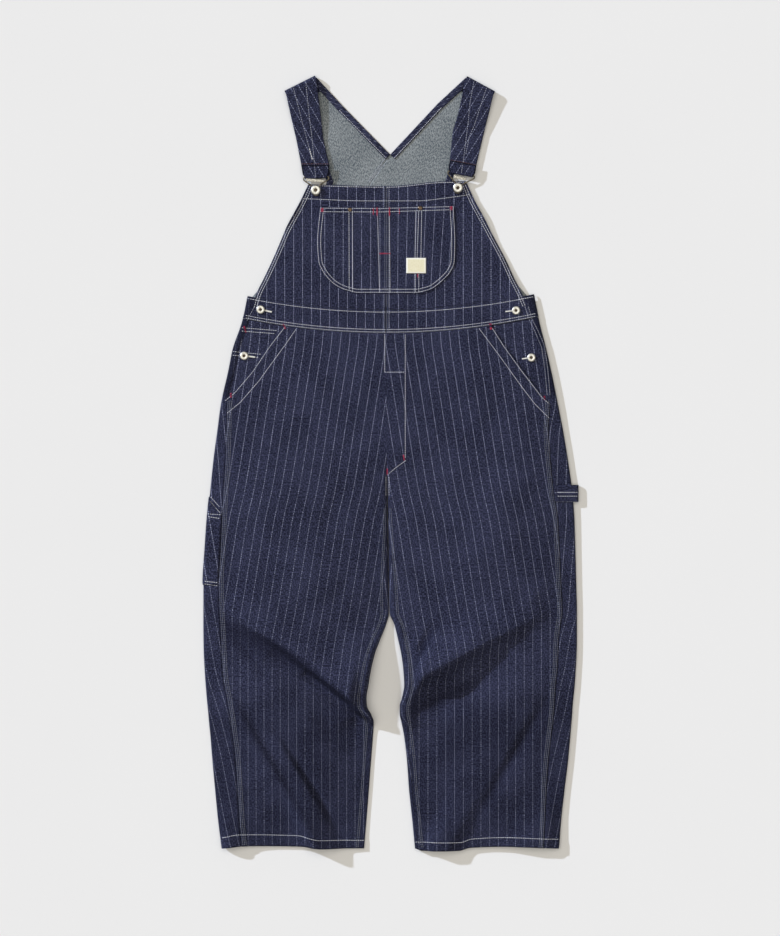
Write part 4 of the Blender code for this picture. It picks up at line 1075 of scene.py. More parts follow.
edge_denim = denim_finish("denim_edge", (0.0005, 0.0007, 0.003), (0.008, 0.009, 0.02), 0.0)
for side in ("left", "right"):
    back, shoulder, strap, end = back_rows_of(side)
    back = refined(np.concatenate([back, shoulder[:1]]), 7.0)[:-1]
    strap = refined(np.concatenate([shoulder[-1:], strap, end[:1]]), 3.2)[1:-1]
    end = refined(end, 2.4)
    swell = np.sin(np.pi * steps(len(strap) - 1)) ** 0.5
    strap[..., 2] += strap_relief(side, strap) * swell[:, None]
    end_top = ease(STRAP_END_Z + TURN_RADIUS, STRAP_END_Z + 2 * TURN_RADIUS, end[..., 2])
    end[..., 2] += 0.3 * end_top * np.sin(np.pi * steps(STRAP_COLUMNS)) ** 0.4
    points = np.concatenate([back, shoulder, strap, end])
    # the cloth is unrolled to lay the stripes on it
    fold = np.array(STRAPS[side][0])
    out = square_to(fold)
    axis = fold[:2] - out * STRAP_FOLD_RADIUS
    plan = points[..., :2].copy()
    beyond = ((plan[:len(back)] - axis) @ out)[..., None] * out
    plan[:len(back)] += out * math.pi * STRAP_FOLD_RADIUS - 2 * beyond
    turn = (1 - steps(FOLD_STEPS)) * math.pi * STRAP_FOLD_RADIUS
    level = slice(len(back), len(back) + len(shoulder))
    plan[level] += ((turn[:, None] - (plan[level] - axis) @ out))[..., None] * out
    grain = in_stripes(plan[..., 0] + STRAP_STRIPES[side] * plan[..., 1], plan[..., 1])
    piece = cloth("back_cloth_" + side, *swapped(side == "left", points, grain))
    # the strap shows denim on both sides, and plain dark edges round its turned end
    rows = len(points) - 1
    shown = np.zeros(len(piece.data.polygons), int)
    piece.data.polygons.foreach_get("material_index", shown)
    inside = shown[rows * STRAP_COLUMNS:2 * rows * STRAP_COLUMNS].reshape(rows, STRAP_COLUMNS)
    inside[len(back) - LINED_ROWS:] = 0
    turned_end = len(back) + len(shoulder) + len(strap) + EDGE_FROM
    inside[turned_end:, :2] = 2
    inside[turned_end:, -2:] = 2
    inside[-1] = 2
    piece.data.polygons.foreach_set("material_index", shown)
    piece.data.materials.append(edge_denim)
    sewn_in(piece, "back_" + side, ["surface"])


def binding_rows(line, toward):
    """A strip along an edge, lying on the inside of the back."""
    rows = []
    for i, point in enumerate(line):
        ahead = np.array(line[min(i + 1, len(line) - 1)], float)
        behind = np.array(line[max(i - 1, 0)], float)
        along = (ahead - behind) / np.linalg.norm(ahead - behind)
        square = np.array([-along[1], along[0]]) * toward
        rows.append([(*(np.array(point) + square * BINDING * share), CLOTH + LAYER + 0.1)
                     for share in steps(2)])
    return rows


def bound(name, node, rows, lean, turn_back, rests_on):
    """Makes a binding and sews it in."""
    rows = refined(refined(rows, 3.0), 1.1, axis=1)
    width = np.linalg.norm(rows - rows[:, :1], axis=-1)
    left_over = np.linalg.norm(rows - rows[:, -1:], axis=-1)
    rows[..., 2] += 0.3 - 0.7 * round_edge(np.minimum(width, left_over), 1.6)
    rows[..., 2] += puckers(left_over - 2, rows[..., 1], 4, 0.14)
    rows, = swapped(turn_back, rows)
    grain = in_stripes(rows[..., 0] + lean * rows[..., 1], rows[..., 1])
    sewn_in(cloth(name, rows, grain), node, rests_on)


neck_lines = {}
for side in ("left", "right"):
    toward = inward(side)
    shoulder, tip = BACKS[side][-1], BACKS[side][6]
    neck = [(tip[2] + (shoulder[2] - tip[2]) * share, tip[3] + (shoulder[3] - tip[3]) * share)
            for share in (0.0, 0.5, 1.0)]
    fold = STRAPS[side][0]
    neck.append((shoulder[2] + (fold[2] - shoulder[2]) * NECK_END,
                 shoulder[3] + (fold[3] - shoulder[3]) * NECK_END))
    rows = binding_rows(neck, toward)
    neck_lines[side] = [tuple(np.array(row[0][:2]) + (np.array(row[2][:2]) - row[0][:2]) * 0.82)
                        for row in rows]
    bound("neck_binding_cloth_" + side, "neck_binding_" + side, rows, toward * 2.5, side == "left",
          ["back_cloth_" + side])
    rows = binding_rows(ARMHOLE[side], -toward)
    bound("armhole_binding_cloth_" + side, "armhole_binding_" + side, rows, -toward * 1.5,
          side == "right", ["back_cloth_" + side])


# ---------------------------------------------------------------- hammer loop, tool pocket
# A folded band of denim is caught in the right outseam and stands off the leg as a
# hammer loop. A narrow pocket for rulers and pencils wraps the left leg's outer edge.

LOOP_BAND = (610.8, 640.5)  # lower and upper side of the loop
LOOP_REACH = 329.9
LOOP_COLUMNS = 60
TOOL_POCKET = {"bottom": 465.5, "top_at_seam": 594.6, "top_at_edge": 620.0, "height": 130.0}
ON_TOP = 0.67               # share of the tool pocket that lies on top of the leg


def curved(points, count):
    """Points on a smooth curve through a few points, along each row."""
    padded = np.concatenate([2 * points[:, :1] - points[:, 1:2], points,
                             2 * points[:, -1:] - points[:, -2:-1]], axis=1)
    place = np.linspace(0, points.shape[1] - 1, count)
    low = np.minimum(place.astype(int), points.shape[1] - 2)
    t = (place - low)[None, :, None]
    a, b, c, d = (padded[:, low + i] for i in range(4))
    return 0.5 * (2 * b + (c - a) * t + (2 * a - 5 * b + 4 * c - d) * t ** 2
                  + (3 * b - a - 3 * c + d) * t ** 3)


loop_y = np.linspace(*LOOP_BAND, 18)[:, None]
edge_x = LEGS("right_edge", loop_y)
depth = EDGE_DEPTHS("right_outer", loop_y)
seam = seam_distance("right", loop_y)
lies = leg_point("right", loop_y, seam * (1 - 0.75 * steps(3)))
lies[..., 1] = loop_y
lies[..., 2] += LAYER
reach = LOOP_REACH - edge_x
top = lies[:, -1:, 2]
rounds = ((edge_x + reach * 0.45, top - 0.8), (edge_x + reach * 0.85, top * 0.78),
          (LOOP_REACH + 0 * reach, depth * 0.5), (edge_x + reach * 0.85, depth * 0.16),
          (edge_x + reach * 0.45, 0 * depth), (edge_x + 0.3, 0 * depth))
section = np.concatenate([lies] + [points_of(x, loop_y, z) for x, z in rounds], axis=1)
points = curved(section, LOOP_COLUMNS)
points[..., 2] = np.maximum(points[..., 2], 0.0)
from_side = np.minimum(loop_y - LOOP_BAND[0], LOOP_BAND[1] - loop_y)
open_end = ease(LOOP_COLUMNS, 10, LOOP_COLUMNS * steps(LOOP_COLUMNS - 1))
points[..., 2] += (0.5 - 0.8 * round_edge(from_side, 2.0)) * open_end
grain = in_stripes(points[..., 1], points[..., 0], 0.3)
piece = cloth("hammer_loop_cloth", points, grain, behind=denim)
sewn_in(piece, "hammer_loop", ["front_leg_cloth_right"])

up = steps(44)[:, None]
share = np.concatenate([np.linspace(0, ON_TOP, 22), np.linspace(ON_TOP, 1, 8)[1:]])[None, :]
top = blend(TOOL_POCKET["top_at_seam"], TOOL_POCKET["top_at_edge"], np.minimum(share * 1.6, 1))
y = blend(TOOL_POCKET["bottom"], top, up)
seam = seam_distance("left", y) - 1
over = leg_point("left", y, seam * (1 - np.minimum(share / ON_TOP, 1)) ** 2.2)
below = outer_radius("left", y) * 0.06 * np.maximum(share - ON_TOP, 0) / (1 - ON_TOP)
under = leg_point("left", y, below, under=True)
row, = swapped(True, np.where((share <= ON_TOP)[..., None], over, under))
along = np.gradient(row, axis=1)
out = points_of(-along[..., 2], 0 * y, along[..., 0])
out = out / np.linalg.norm(out, axis=-1, keepdims=True)
near = np.minimum(1 - up, up) * TOOL_POCKET["height"] + 0 * share
points = row + out * (LAYER + 0.3 - 0.6 * round_edge(near, 1.8))[..., None]
points[..., 2] = np.maximum(points[..., 2], 0.0)
grain = in_stripes(points[..., 0] * 0.7 + 0.12 * points[..., 1], points[..., 1])
piece = cloth("tool_pocket_cloth", points, grain)
sewn_in(piece, "tool_pocket", ["back_leg_cloth_left"])


# ---------------------------------------------------------------- label
# A small cream woven label is folded at its edges and sewn flat onto the bib pocket.

LABEL_BOX = {"left": 28.2, "right": 62.7, "bottom": 1011.0, "top": 1038.0}
LABEL_CENTRE = (45.45, 1024.5)
LABEL_WALL = 0.8
CREAM, AGED_CREAM, PALE_MIDDLE = (0.80, 0.75, 0.54), (0.72, 0.66, 0.42), (0.86, 0.84, 0.75)


def label_finish():
    """Fine ribs both ways, a faint stain, and folded edges of a deeper cream."""
    finish = Finish("label_cloth", Roughness=0.75, Specular_IOR_Level=0.3)
    place, u, v = cloth_place(finish)
    ribs = (v * 2.2).from_half() * 0.5 + (u * 1.4).from_half() * 0.5
    stain = finish.noise(place, 0.35, 3.0)
    middle = (u.math("ABSOLUTE").between(13.8, 15.2, 1.0, 0.0)
              * v.math("ABSOLUTE").between(10.2, 11.6, 1.0, 0.0))
    colour = finish.mix(stain.between(0.3, 0.7), CREAM, AGED_CREAM)
    finish.set("Base Color", finish.mix(middle * 0.85, PALE_MIDDLE, colour))
    finish.raised(ribs, 0.0002, 0.6)
    return finish.material


label_x, label_y = np.meshgrid(np.linspace(LABEL_BOX["left"], LABEL_BOX["right"], 36),
                               np.linspace(LABEL_BOX["bottom"], LABEL_BOX["top"], 28))
label = points_of(label_x, label_y, bib_height(label_x, label_y) + LAYER * 2 + 0.2)
label[..., 2] -= 0.5 * round_edge(from_outline(label), 1.4)
label_grain = label[..., :2] - LABEL_CENTRE
cream = label_finish()
piece = cloth("bib_label_cloth", label, label_grain, wall=LABEL_WALL, front=cream, behind=cream)
sewn_in(piece, "bib_label", ["bib_pocket_cloth"])


# ---------------------------------------------------------------- stitching
# Heavy cotton topstitching, mostly in double rows, sews each hem, seam and pocket; the
# outseams have three rows of duller thread. Bar tacks in red thread hold the corners,
# and the side buttonholes end in dense pale tacks.

STITCH = {"length": 3.2, "gap": 0.7, "width": 1.05, "height": 0.42}
# Sections of a stitch: share of its length, share of its width, and height
STITCH_RINGS = ((0.0, 0.25, -0.5), (0.16, 0.85, 0.35), (0.5, 1.0, 1.0), (0.84, 0.85, 0.35),
                (1.0, 0.25, -0.5))


def cloth_from_above():
    """All the cloth as one surface that points can be dropped onto."""
    corners, faces, count = [], [], 0
    for piece in cloth_pieces:
        vectors = np.empty(len(piece.data.vertices) * 3)
        piece.data.vertices.foreach_get("co", vectors)
        corners.append(vectors.reshape(-1, 3))
        faces += [[index + count for index in face.vertices] for face in piece.data.polygons]
        count += len(piece.data.vertices)
    return BVHTree.FromPolygons(np.concatenate(corners).tolist(), faces)


top_cloth = cloth_from_above()


def dropped(x, y):
    """Where a point falls on the cloth, and which way the cloth faces there."""
    start = Vector(placed((x, y, 60.0)))
    place, normal, _, _ = top_cloth.ray_cast(start, Vector((0, 0, -1)))
    return (place, normal) if place else (Vector(placed((x, y, 0.0))), Vector((0, 0, 1)))


def thread_finish(name, colour, shade):
    """Cotton thread, a little darker in places."""
    finish = Finish(name, Roughness=0.7, Specular_IOR_Level=0.25)
    place = finish.node("TexCoord", output=3)
    tone = finish.noise(place, 150.0, 3.0, 0.6).between(0.3, 0.7)
    finish.set("Base Color", finish.mix(tone, shade, colour))
    finish.raised(finish.noise(place, 1600.0), 0.0002, 0.5)
    return finish.material


def in_stitches(line, length, gap):
    """Pairs of ends of the stitches along a line through several places."""
    line = np.array(line, float)
    reach = np.concatenate([[0], np.cumsum(np.linalg.norm(np.diff(line, axis=0), axis=1))])
    count = max(1, round(reach[-1] / (length + gap)))
    starts = np.linspace(0, reach[-1] - length, count) if count > 1 else [0.0]
    pairs = []
    for start in starts:
        ends = [(np.interp(place, reach, line[:, 0]), np.interp(place, reach, line[:, 1]))
                for place in (start, start + length)]
        pairs.append(ends)
    return pairs


def sewn(name, pairs, finish, width, height):
    """One mesh of stitches: each is a short flattened thread that lies on the cloth."""
    corners, faces = [], []
    for (x0, y0), (x1, y1) in pairs:
        start, up = dropped(x0, y0)
        stop, _ = dropped(x1, y1)
        along = stop - start
        across = along.cross(up).normalized()
        up = across.cross(along).normalized()
        first = len(corners)
        for share, wide, high in STITCH_RINGS:
            middle = start + along * share + up * (high * height * 0.5 * MM)
            for angle in (0, 60, 120, 180, 240, 300):
                turn = math.radians(angle)
                corners.append(middle + across * (math.cos(turn) * wide * width / 2 * MM)
                               + up * (math.sin(turn) * wide * height / 2 * MM))
        for ring in range(len(STITCH_RINGS) - 1):
            low = first + ring * 6
            faces += [(low + i, low + 6 + i, low + 6 + (i + 1) % 6, low + (i + 1) % 6)
                      for i in range(6)]
        last = first + 6 * (len(STITCH_RINGS) - 1)
        faces += [tuple(first + i for i in range(6)), tuple(last + i for i in reversed(range(6)))]
    mesh = bpy.data.meshes.new(name)
    mesh.from_pydata(corners, [], faces)
    mesh.shade_smooth()
    mesh.materials.append(finish)
    piece = bpy.data.objects.new(name, mesh)
    bpy.context.scene.collection.objects.link(piece)
    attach(piece, "root")
    return piece


def rows_of_stitches(name, lines, finish, width=STITCH["width"]):
    """One piece for all the stitches along some lines."""
    pairs = [pair for line in lines for pair in in_stitches(line, STITCH["length"], STITCH["gap"])]
    return sewn(name, pairs, finish, width, STITCH["height"])


def tack_pairs(x0, y0, x1, y1, width):
    """Close stitches across the line of a bar tack."""
    length = math.hypot(x1 - x0, y1 - y0)
    square = ((y0 - y1) / length * width / 2, (x1 - x0) / length * width / 2)
    count = max(3, round(length / 0.75))
    places = [(x0 + (x1 - x0) * share, y0 + (y1 - y0) * share) for share in steps(count)]
    return [((x - square[0], y - square[1]), (x + square[0] + 0.3, y + square[1] + 0.3))
            for x, y in places]


def inset_line(edge, by):
    """A line set in to the right of an edge that is given in order."""
    edge = np.array(edge, float)
    along = np.gradient(edge, axis=0)
    square = np.stack([along[:, 1], -along[:, 0]], axis=1)
    return edge + square / np.linalg.norm(square, axis=1, keepdims=True) * by


pale_thread = thread_finish("pale_thread", (0.74, 0.75, 0.80), (0.50, 0.51, 0.56))
dull_thread = thread_finish("dull_thread", (0.19, 0.20, 0.23), (0.12, 0.13, 0.17))
red_thread = thread_finish("red_thread", (0.40, 0.03, 0.07), (0.22, 0.02, 0.06))
brown_thread = thread_finish("brown_thread", (0.12, 0.06, 0.06), (0.06, 0.03, 0.035))
white_thread = thread_finish("white_thread", (0.85, 0.84, 0.80), (0.70, 0.69, 0.66))
soft_thread = thread_finish("soft_thread", (0.42, 0.43, 0.50), (0.24, 0.25, 0.32))

# bib and its pocket
up_left = [(BIB("left", y), y) for y in np.linspace(952, 1166, 60)]
up_right = [(BIB("right", y), y) for y in np.linspace(956, 1171, 60)]
hem_x = np.linspace(-153, 139, 60)
top_x = np.linspace(-136, 126, 60)
foot = BIB_POCKET_SPAN[0]
outline = [(BIB_POCKET("left", y), y) for y in foot + 150 * steps(70)[::-1] ** 1.6]
outline += [(x, foot) for x in np.linspace(-58, 48, 24)]
outline += [(BIB_POCKET("right", y), y) for y in foot + 151 * steps(70)[1:] ** 1.6]
outline = [(float(x), float(y)) for x, y in outline]
low_y = 978.5
bib_lines = [
    inset_line(up_left, 3.5), inset_line(up_left, 7.5),
    inset_line(up_right, -3.5), inset_line(up_right, -7.5),
    [(x, float(BIB_HEM("height", x))) for x in hem_x],
    [(x, float(BIB_TOP("height", x)) - 2.0) for x in top_x],
    inset_line(outline, -2.2), inset_line(outline, -7.5),
    [(-122, 1125.4), (-20, 1124.6), (111, 1128)], [(-122, 1119.1), (-20, 1118.6), (111, 1122.7)],
    [(-72.3, 1120), (-71.8, low_y)], [(-66.3, 1120), (-65.8, low_y)],
    [(-22.3, 1116), (-18.6, low_y)], [(-1.4, 1116), (-0.4, low_y)],
    [(44.8, 1120), (43.4, 1038)], [(49.9, 1120), (47, 1038)], [(55, 1120), (53.7, 1038)],
    [(43.8, 1010), (43.8, low_y)], [(50, 1010), (50, low_y)],
]
rows_of_stitches("bib_stitching", bib_lines, pale_thread)
fell_lines = [[(x, low), (x, high)] for low, high in ((952.0, 1162.0), (910.0, 946.0))
              for x in (-9.6, -6.4, -3.4)]

# waistband, front pockets, fly and hems
waist_x = {"left": np.linspace(-253, -8, 50), "right": np.linspace(-6, 254, 50)}
body_lines = []
for side in ("left", "right"):
    for base in (BAND_TOP - 4.5, WAIST + 1.6, WAIST + 6.2):
        body_lines.append([(x, base + float(waist_rise(x))) for x in waist_x[side]])
body_lines += [
    [(-182.5, 919.5), (-210.4, 883.4), (-239.8, 839.6), (-271.8, 802), (-288.9, 788)],
    [(-164.9, 913.3), (-183.4, 886.4), (-230, 822.5), (-262, 785.6), (-288.9, 763.5)],
    [(178.9, 914.6), (198.2, 884), (230, 840), (265, 794.4), (280, 781)],
    [(155.6, 914.6), (191.3, 866.6), (228, 815.2), (252.5, 783.1), (280.9, 755)],
    [(-260, 915.8), (-199, 911)], [(-260, 910), (-203, 905.6)],
    [(-276, 874.3), (-226.7, 869.4)], [(-276, 867.8), (-231.4, 863.7)],
    [(26.25, 904), (26.25, 687.75)], [(27.3, 683.5), (10, 671), (-8.2, 655.4)],
    [(-9.6, 838), (24.5, 838)], [(-9.6, 905), (-9.6, 838)],
    [(-7.5, 655), (-7.5, 622)], [(-2.1, 655), (-2.1, 622)],
]
hem_left = Table("x y", ((-296.3, 22.75), (-264.4, 28), (-158.7, 26.3), (-122, 19.1), (-43.4, 17.9)))
hem_right = Table("x y", ((42.7, 15.4), (125, 14.9), (139.7, 20.3), (203.5, 23.3), (296.8, 20.3)))
body_lines += [[(x, float(hem("y", x))) for x in np.linspace(start, stop, 50)]
               for hem, start, stop in ((hem_left, -294, -46), (hem_right, 44, 294))]
body_lines += [
    [(293, 627.7), (328, 627.7)], [(293, 620.9), (328, 620.9)],
    [(-314.5, 619.5), (-298.9, 602.4)], [(-315.4, 611.8), (-298.2, 592.2)],
    [(-320, 590), (-296.6, 588.4)], [(-318.5, 585.2), (-298.9, 582)],
    [(-325, 472), (-302.5, 469.5)], [(-325, 467.3), (-302.5, 464.1)],
]
rows_of_stitches("body_stitching", body_lines, pale_thread)

# straps, sides and neck
rows_of_stitches("strap_stitching", [
    *STRAP_STITCHES["left"], *STRAP_STITCHES["right"],
    [(-4, 1213), (-36, 1171)], [(-7, 1215), (-39, 1173)]], soft_thread, 1.0)
rows_of_stitches("side_edge_stitching", [
    [(236, 953), (242, 932.9), (254, 908), (265, 881.5), (271, 840), (274.8, 798)],
    [(242, 953), (247.5, 932.9), (259, 910), (270, 884), (276, 842), (279.8, 798)],
    [(-238, 952), (-251, 928)]], soft_thread, 1.0)
rows_of_stitches("neck_stitching", [neck_lines["left"][:3], neck_lines["right"][:3]],
                 pale_thread, 1.0)
rows_of_stitches("strap_end_stitching", [
    [(-154.8, 1202.9), (-108, 1202.9)], [(105.8, 1209.9), (149.9, 1201.2)]], brown_thread, 1.6)
rows_of_stitches("thread_end", [[(-141.6, 1230), (-136.5, 1211)]], white_thread, 1.5)

# seams of the legs
seam_lines = []
for side in ("left", "right"):
    way = inward(side)
    y = np.linspace(6, 788, 200)
    for by in (2.0, 5.0, 8.0):
        seam_lines.append(np.stack([LEGS(side + "_seam", y) + way * by, y], axis=1))
    y = np.linspace(6, 600, 160)
    for by in (10.0, 13.0):
        turn = inner_radius(side, y) * (inseam_turn(y) - 1)
        seam_lines.append(np.stack([LEGS(side + "_inner", y) - way * (by + turn), y], axis=1))
rows_of_stitches("seam_stitching", seam_lines + fell_lines, dull_thread, 0.95)

# bar tacks and buttonholes: x and y of the two ends, and width
TACKS = (
    (-119.2, 1125, -119.2, 1119, 6.0), (106.8, 1128, 106.8, 1122, 6.0),
    (-29.8, 1125, -29.8, 1114, 1.5),
    (-23.1, 1126, -23.1, 1112, 2.4), (-1.4, 1126, -1.4, 1112, 2.6), (15.8, 1125, 15.8, 1115, 1.3),
    (-18.7, 1045.6, 0, 1045.6, 2.6), (48.1, 1010, 48.1, 1004, 2.2), (-187, 922, -184, 914, 3.0),
    (-279.1, 801, -279.1, 794, 3.0), (-256, 918, -253, 908, 3.0), (175.2, 923, 176.5, 913, 4.5),
    (269.9, 796, 269.9, 790, 3.0), (-5.3, 669, -5.3, 659, 2.4), (23.1, 693, 24.5, 684, 2.4),
)
sewn("bar_tacks", [pair for tack in TACKS for pair in tack_pairs(*tack)], red_thread, 0.8, 0.8)
BUTTONHOLES = (
    (-219, 945.8, -207.9, 943.3, 2.8), (-248, 865.6, -237.3, 864.2, 2.8),
    (212.5, 945.2, 201.8, 944, 2.8), (239.5, 862.4, 231, 861.2, 2.8),
)
sewn("buttonhole_tacks", [pair for hole in BUTTONHOLES for pair in tack_pairs(*hole)],
     white_thread, 0.9, 0.9)


# ---------------------------------------------------------------- buttons and rivets
# Tack buttons of pale worn nickel: a round ring with a sunken middle painted dark as the shade of its
# hole, on a stem that is riveted through the cloth. Small domed brass rivets hold the pocket's
# corners.

# Place and diameter
BUTTONS = {
    "bib_button_left": (-130.4, 1156.8, 17.0), "bib_button_right": (118.5, 1160.9, 17.0),
    "waist_button_left": (-227.0, 947.6, 14.7), "waist_button_right": (220.2, 946.0, 14.7),
    "hip_button_left": (-255.9, 866.6, 14.7), "hip_button_right": (247.0, 863.6, 14.7),
}
STEMS = {"bib": 3.6, "waist": 1.1, "hip": 1.1}      # from the cloth to the button's back
RIVETS = {"rivet_left": (-70.7, 1122.6), "rivet_right": (52.7, 1125.2)}
BUTTON_SIZE = 17.0
BUTTON_BACK = 1.4           # thickness of the disc that the ring is pressed from
DARK_MIDDLE = 2.9           # radius of the painted shade of the button's hole
RIVET_RADIUS = 4.0
RIVET_FLANGE = 0.8
# How a face is pressed, from its edge inwards: how far in and how far out, at each step
RING_STEPS = ((0.8, 0.8), (1.2, 0.5), (1.3, 0.0), (1.2, -0.4), (0.9, -0.3), (0.9, -0.1),
              (0.4, -0.5))
STEM_STEPS = ((1.0, 0.5), (4.0, 0), (0.1, 4.0))
DOME_STEPS = ((0.5, 0.55), (0.9, 0.45), (1.0, 0.15), (0.5, -0.25), (0.3, 0.3))


def metal_finish(name, bright, dull, roughness):
    """Metal worn bright in places, where it is smoother too."""
    finish = Finish(name, Metallic=1.0)
    place = finish.node("TexCoord", output=3)
    worn = finish.noise(place, 420.0, 3.0, 0.6)
    finish.set("Base Color", finish.mix(worn.between(0.35, 0.65), dull, bright))
    finish.set("Roughness", worn.between(0.3, 0.7, roughness, roughness * 0.65))
    finish.raised(finish.noise(place, 900.0), 0.0001, 0.4)
    return finish.material


nickel = metal_finish("worn_nickel", (0.80, 0.79, 0.73), (0.56, 0.55, 0.50), 0.55)
old_steel = metal_finish("old_steel", (0.50, 0.49, 0.45), (0.24, 0.23, 0.20), 0.5)
dark_wire = metal_finish("dark_wire", (0.24, 0.21, 0.16), (0.09, 0.08, 0.06), 0.5)
painted_hole_shade = metal_finish("painted_hole_shade", (0.12, 0.09, 0.06), (0.04, 0.03, 0.025), 0.6)
brass = metal_finish("aged_brass", (0.20, 0.145, 0.10), (0.05, 0.038, 0.03), 0.3)


def pressed(piece, facing, in_steps):
    """Presses the face that looks up (1) or down (-1) step by step, from its edge inwards."""
    bpy.ops.object.mode_set(mode="EDIT")
    bpy.ops.mesh.select_all(action="DESELECT")
    bpy.ops.object.mode_set(mode="OBJECT")
    for face in piece.data.polygons:
        face.select = face.normal.z * facing > 0.9
    bpy.ops.object.mode_set(mode="EDIT")
    for wide, high in in_steps:
        bpy.ops.mesh.inset(thickness=wide * MM, depth=high * MM)
    bpy.ops.object.mode_set(mode="OBJECT")


def disc(sides, radius, thick, level):
    bpy.ops.mesh.primitive_cylinder_add(vertices=sides, radius=radius * MM, depth=thick * MM,
                                        location=(0, 0, level * MM))
    return bpy.context.object


def smoothed():
    bpy.ops.object.transform_apply(location=True, rotation=True, scale=True)
    bpy.ops.object.shade_smooth_by_angle(angle=math.radians(50))


def ring_button():
    button = disc(48, BUTTON_SIZE / 2, BUTTON_BACK, BUTTON_BACK / 2)
    pressed(button, 1, RING_STEPS)
    pressed(button, -1, STEM_STEPS)
    button.data.materials.append(nickel)
    button.data.materials.append(painted_hole_shade)
    for face in button.data.polygons:
        # the dark middle is painted shade standing for the button's hole
        dark = face.center.z > 0 and face.center.xy.length < DARK_MIDDLE * MM
        face.material_index = int(dark)
    smoothed()
    return button


def domed_rivet():
    rivet = disc(32, RIVET_RADIUS, RIVET_FLANGE, 0)
    pressed(rivet, 1, DOME_STEPS)
    rivet.data.materials.append(brass)
    smoothed()
    return rivet


def copied(pattern, name, place, size):
    """A copy of a pattern, set in its place and fixed to the garment."""
    piece = pattern.copy()
    piece.data = pattern.data.copy()
    piece.name = name
    bpy.context.scene.collection.objects.link(piece)
    bpy.ops.object.select_all(action="DESELECT")
    piece.select_set(True)
    bpy.context.view_layer.objects.active = piece
    piece.location = place
    piece.scale = (size, size, size)
    bpy.ops.object.transform_apply(location=True, rotation=True, scale=True)
    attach(piece, "root")
    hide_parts(name.replace("_metal", ""))
    return piece


button_pattern = ring_button()
for name, (x, y, size) in BUTTONS.items():
    place, _ = dropped(x, y)
    place.z += STEMS[name.split("_")[0]] * MM
    copied(button_pattern, name + "_metal", place, size / BUTTON_SIZE)
bpy.data.objects.remove(button_pattern, do_unlink=True)

rivet_pattern = domed_rivet()
for name, (x, y) in RIVETS.items():
    place, _ = dropped(x, y)
    place.z += RIVET_FLANGE / 2 * MM
    copied(rivet_pattern, name + "_metal", place, 1.0)
bpy.data.objects.remove(rivet_pattern, do_unlink=True)


# ---------------------------------------------------------------- buckles
# Each strap ends in a wire buckle: a bar in the strap's turned end with a pressed plate
# over it, two arms and a loop that hooks round the bib button's stem.

LOOP_RADIUS = 6.2
PLATE = {"width": 5.2, "thickness": 1.0, "level": 9.1, "edge": 0.45}
# x and y of the plate's two ends
PLATES = {"left": (-147.5, 1174.8, -116.5, 1172.6), "right": (111.0, 1180.8, 132.5, 1175.6)}


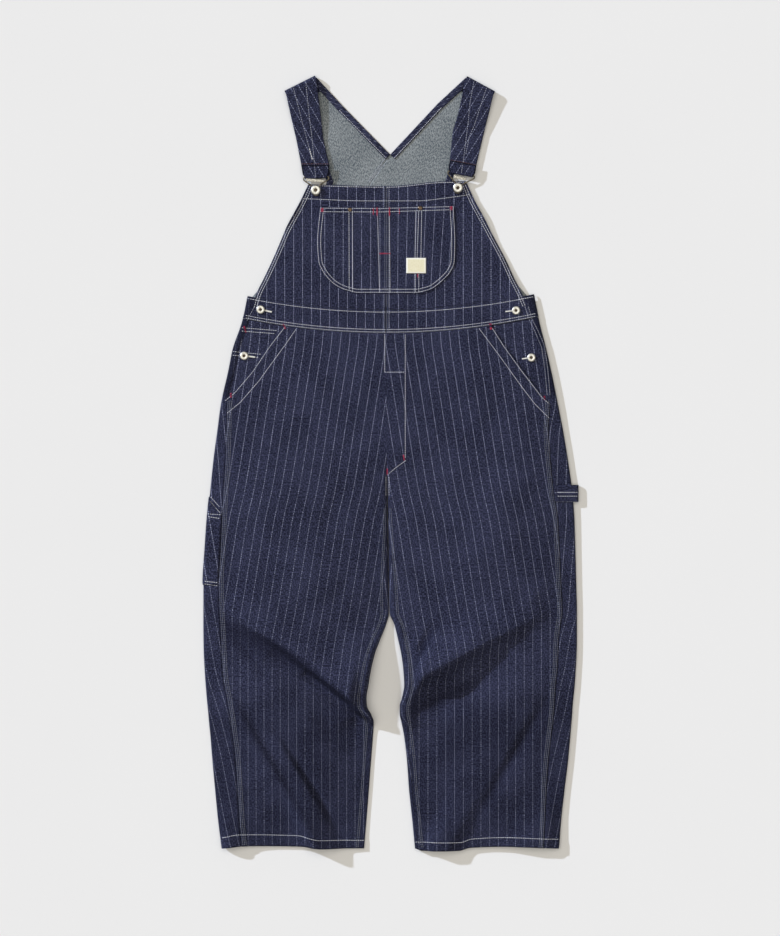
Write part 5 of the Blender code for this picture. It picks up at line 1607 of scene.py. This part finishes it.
def buckle_path(side):
    """Places along the wire: one half of the bar, an arm, the loop and back."""
    x, y, _ = BUTTONS["bib_button_" + side]
    bar = STRAPS[side][-1]
    outer, inner = Vector(bar[:2]), Vector(bar[2:])
    across = (inner - outer).normalized()
    down = Vector((across.y, -across.x))
    if down.y > 0:
        down.negate()
    bar_z = STRAP_END_Z + TURN_RADIUS
    loop_z = float(bib_height(x, y)) + 0.3 + WIRE / 2 + 0.4
    middle = (outer + inner) / 2
    reach = (inner - outer).length / 2 - 1.5
    button = Vector((x, y))
    arms = []
    for way in (across, -across):
        arms.append([
            (middle + way * reach * 0.5, bar_z), (middle + way * (reach - 0.6), bar_z),
            (middle + way * (reach + 0.8) + down * 1.2, bar_z),
            (middle + way * (reach + 1) + down * 2.7, bar_z),
            (middle + way * (reach - 0.5) + down * 5.5, bar_z),
            (button + way * 7.5 - down * 8.5, (bar_z + loop_z) / 2),
            (button + way * LOOP_RADIUS - down * 4, loop_z),
            (button + way * LOOP_RADIUS + down, loop_z)])
    turn = [math.radians(angle) for angle in (15, 40, 65, 90, 115, 140, 165)]
    loop = [(button + across * LOOP_RADIUS * math.cos(angle)
             + down * (3 + LOOP_RADIUS * math.sin(angle)), loop_z) for angle in turn]
    return arms[0] + loop + arms[1][::-1]


for side in ("left", "right"):
    path = np.array([[(*placed((place.x, place.y, z)),) for place, z in buckle_path(side)]])
    closed = np.concatenate([path, path[:, :1]], axis=1)
    smooth = curved(closed, 150)[0]
    wire = bpy.data.curves.new("buckle_wire_" + side, "CURVE")
    wire.dimensions = "3D"
    wire.bevel_depth = WIRE / 2 * MM
    wire.bevel_resolution = 3
    spline = wire.splines.new("POLY")
    spline.points.add(len(smooth) - 2)
    for point, place in zip(spline.points, smooth[:-1]):
        point.co = (*place, 1)
    spline.use_cyclic_u = True
    bent = bpy.data.objects.new("bent_wire", wire)
    bpy.context.scene.collection.objects.link(bent)
    bpy.ops.object.select_all(action="DESELECT")
    bent.select_set(True)
    bpy.context.view_layer.objects.active = bent
    bpy.ops.object.convert(target="MESH")
    buckle = bpy.context.object
    buckle.data.materials.append(dark_wire)
    x0, y0, x1, y1 = PLATES[side]
    length, angle = math.hypot(x1 - x0, y1 - y0), math.atan2(y1 - y0, x1 - x0)
    centre = placed(((x0 + x1) / 2, (y0 + y1) / 2, PLATE["level"]))
    bpy.ops.mesh.primitive_cube_add(
        size=1, location=centre, rotation=(0, 0, angle),
        scale=(length * MM, PLATE["width"] * MM, PLATE["thickness"] * MM))
    plate = bpy.context.object
    bpy.ops.object.transform_apply(location=True, rotation=True, scale=True)
    bpy.ops.object.mode_set(mode="EDIT")
    bpy.ops.mesh.select_all(action="SELECT")
    bpy.ops.mesh.bevel(offset=PLATE["edge"] * MM, segments=3, affect="EDGES")
    bpy.ops.object.mode_set(mode="OBJECT")
    plate.data.materials.append(old_steel)
    buckle.select_set(True)
    bpy.context.view_layer.objects.active = buckle
    bpy.ops.object.join()
    buckle.name = "buckle_metal_" + side
    bpy.ops.object.shade_smooth_by_angle(angle=math.radians(40))
    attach(buckle, "root")
    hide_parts("buckle_" + side)
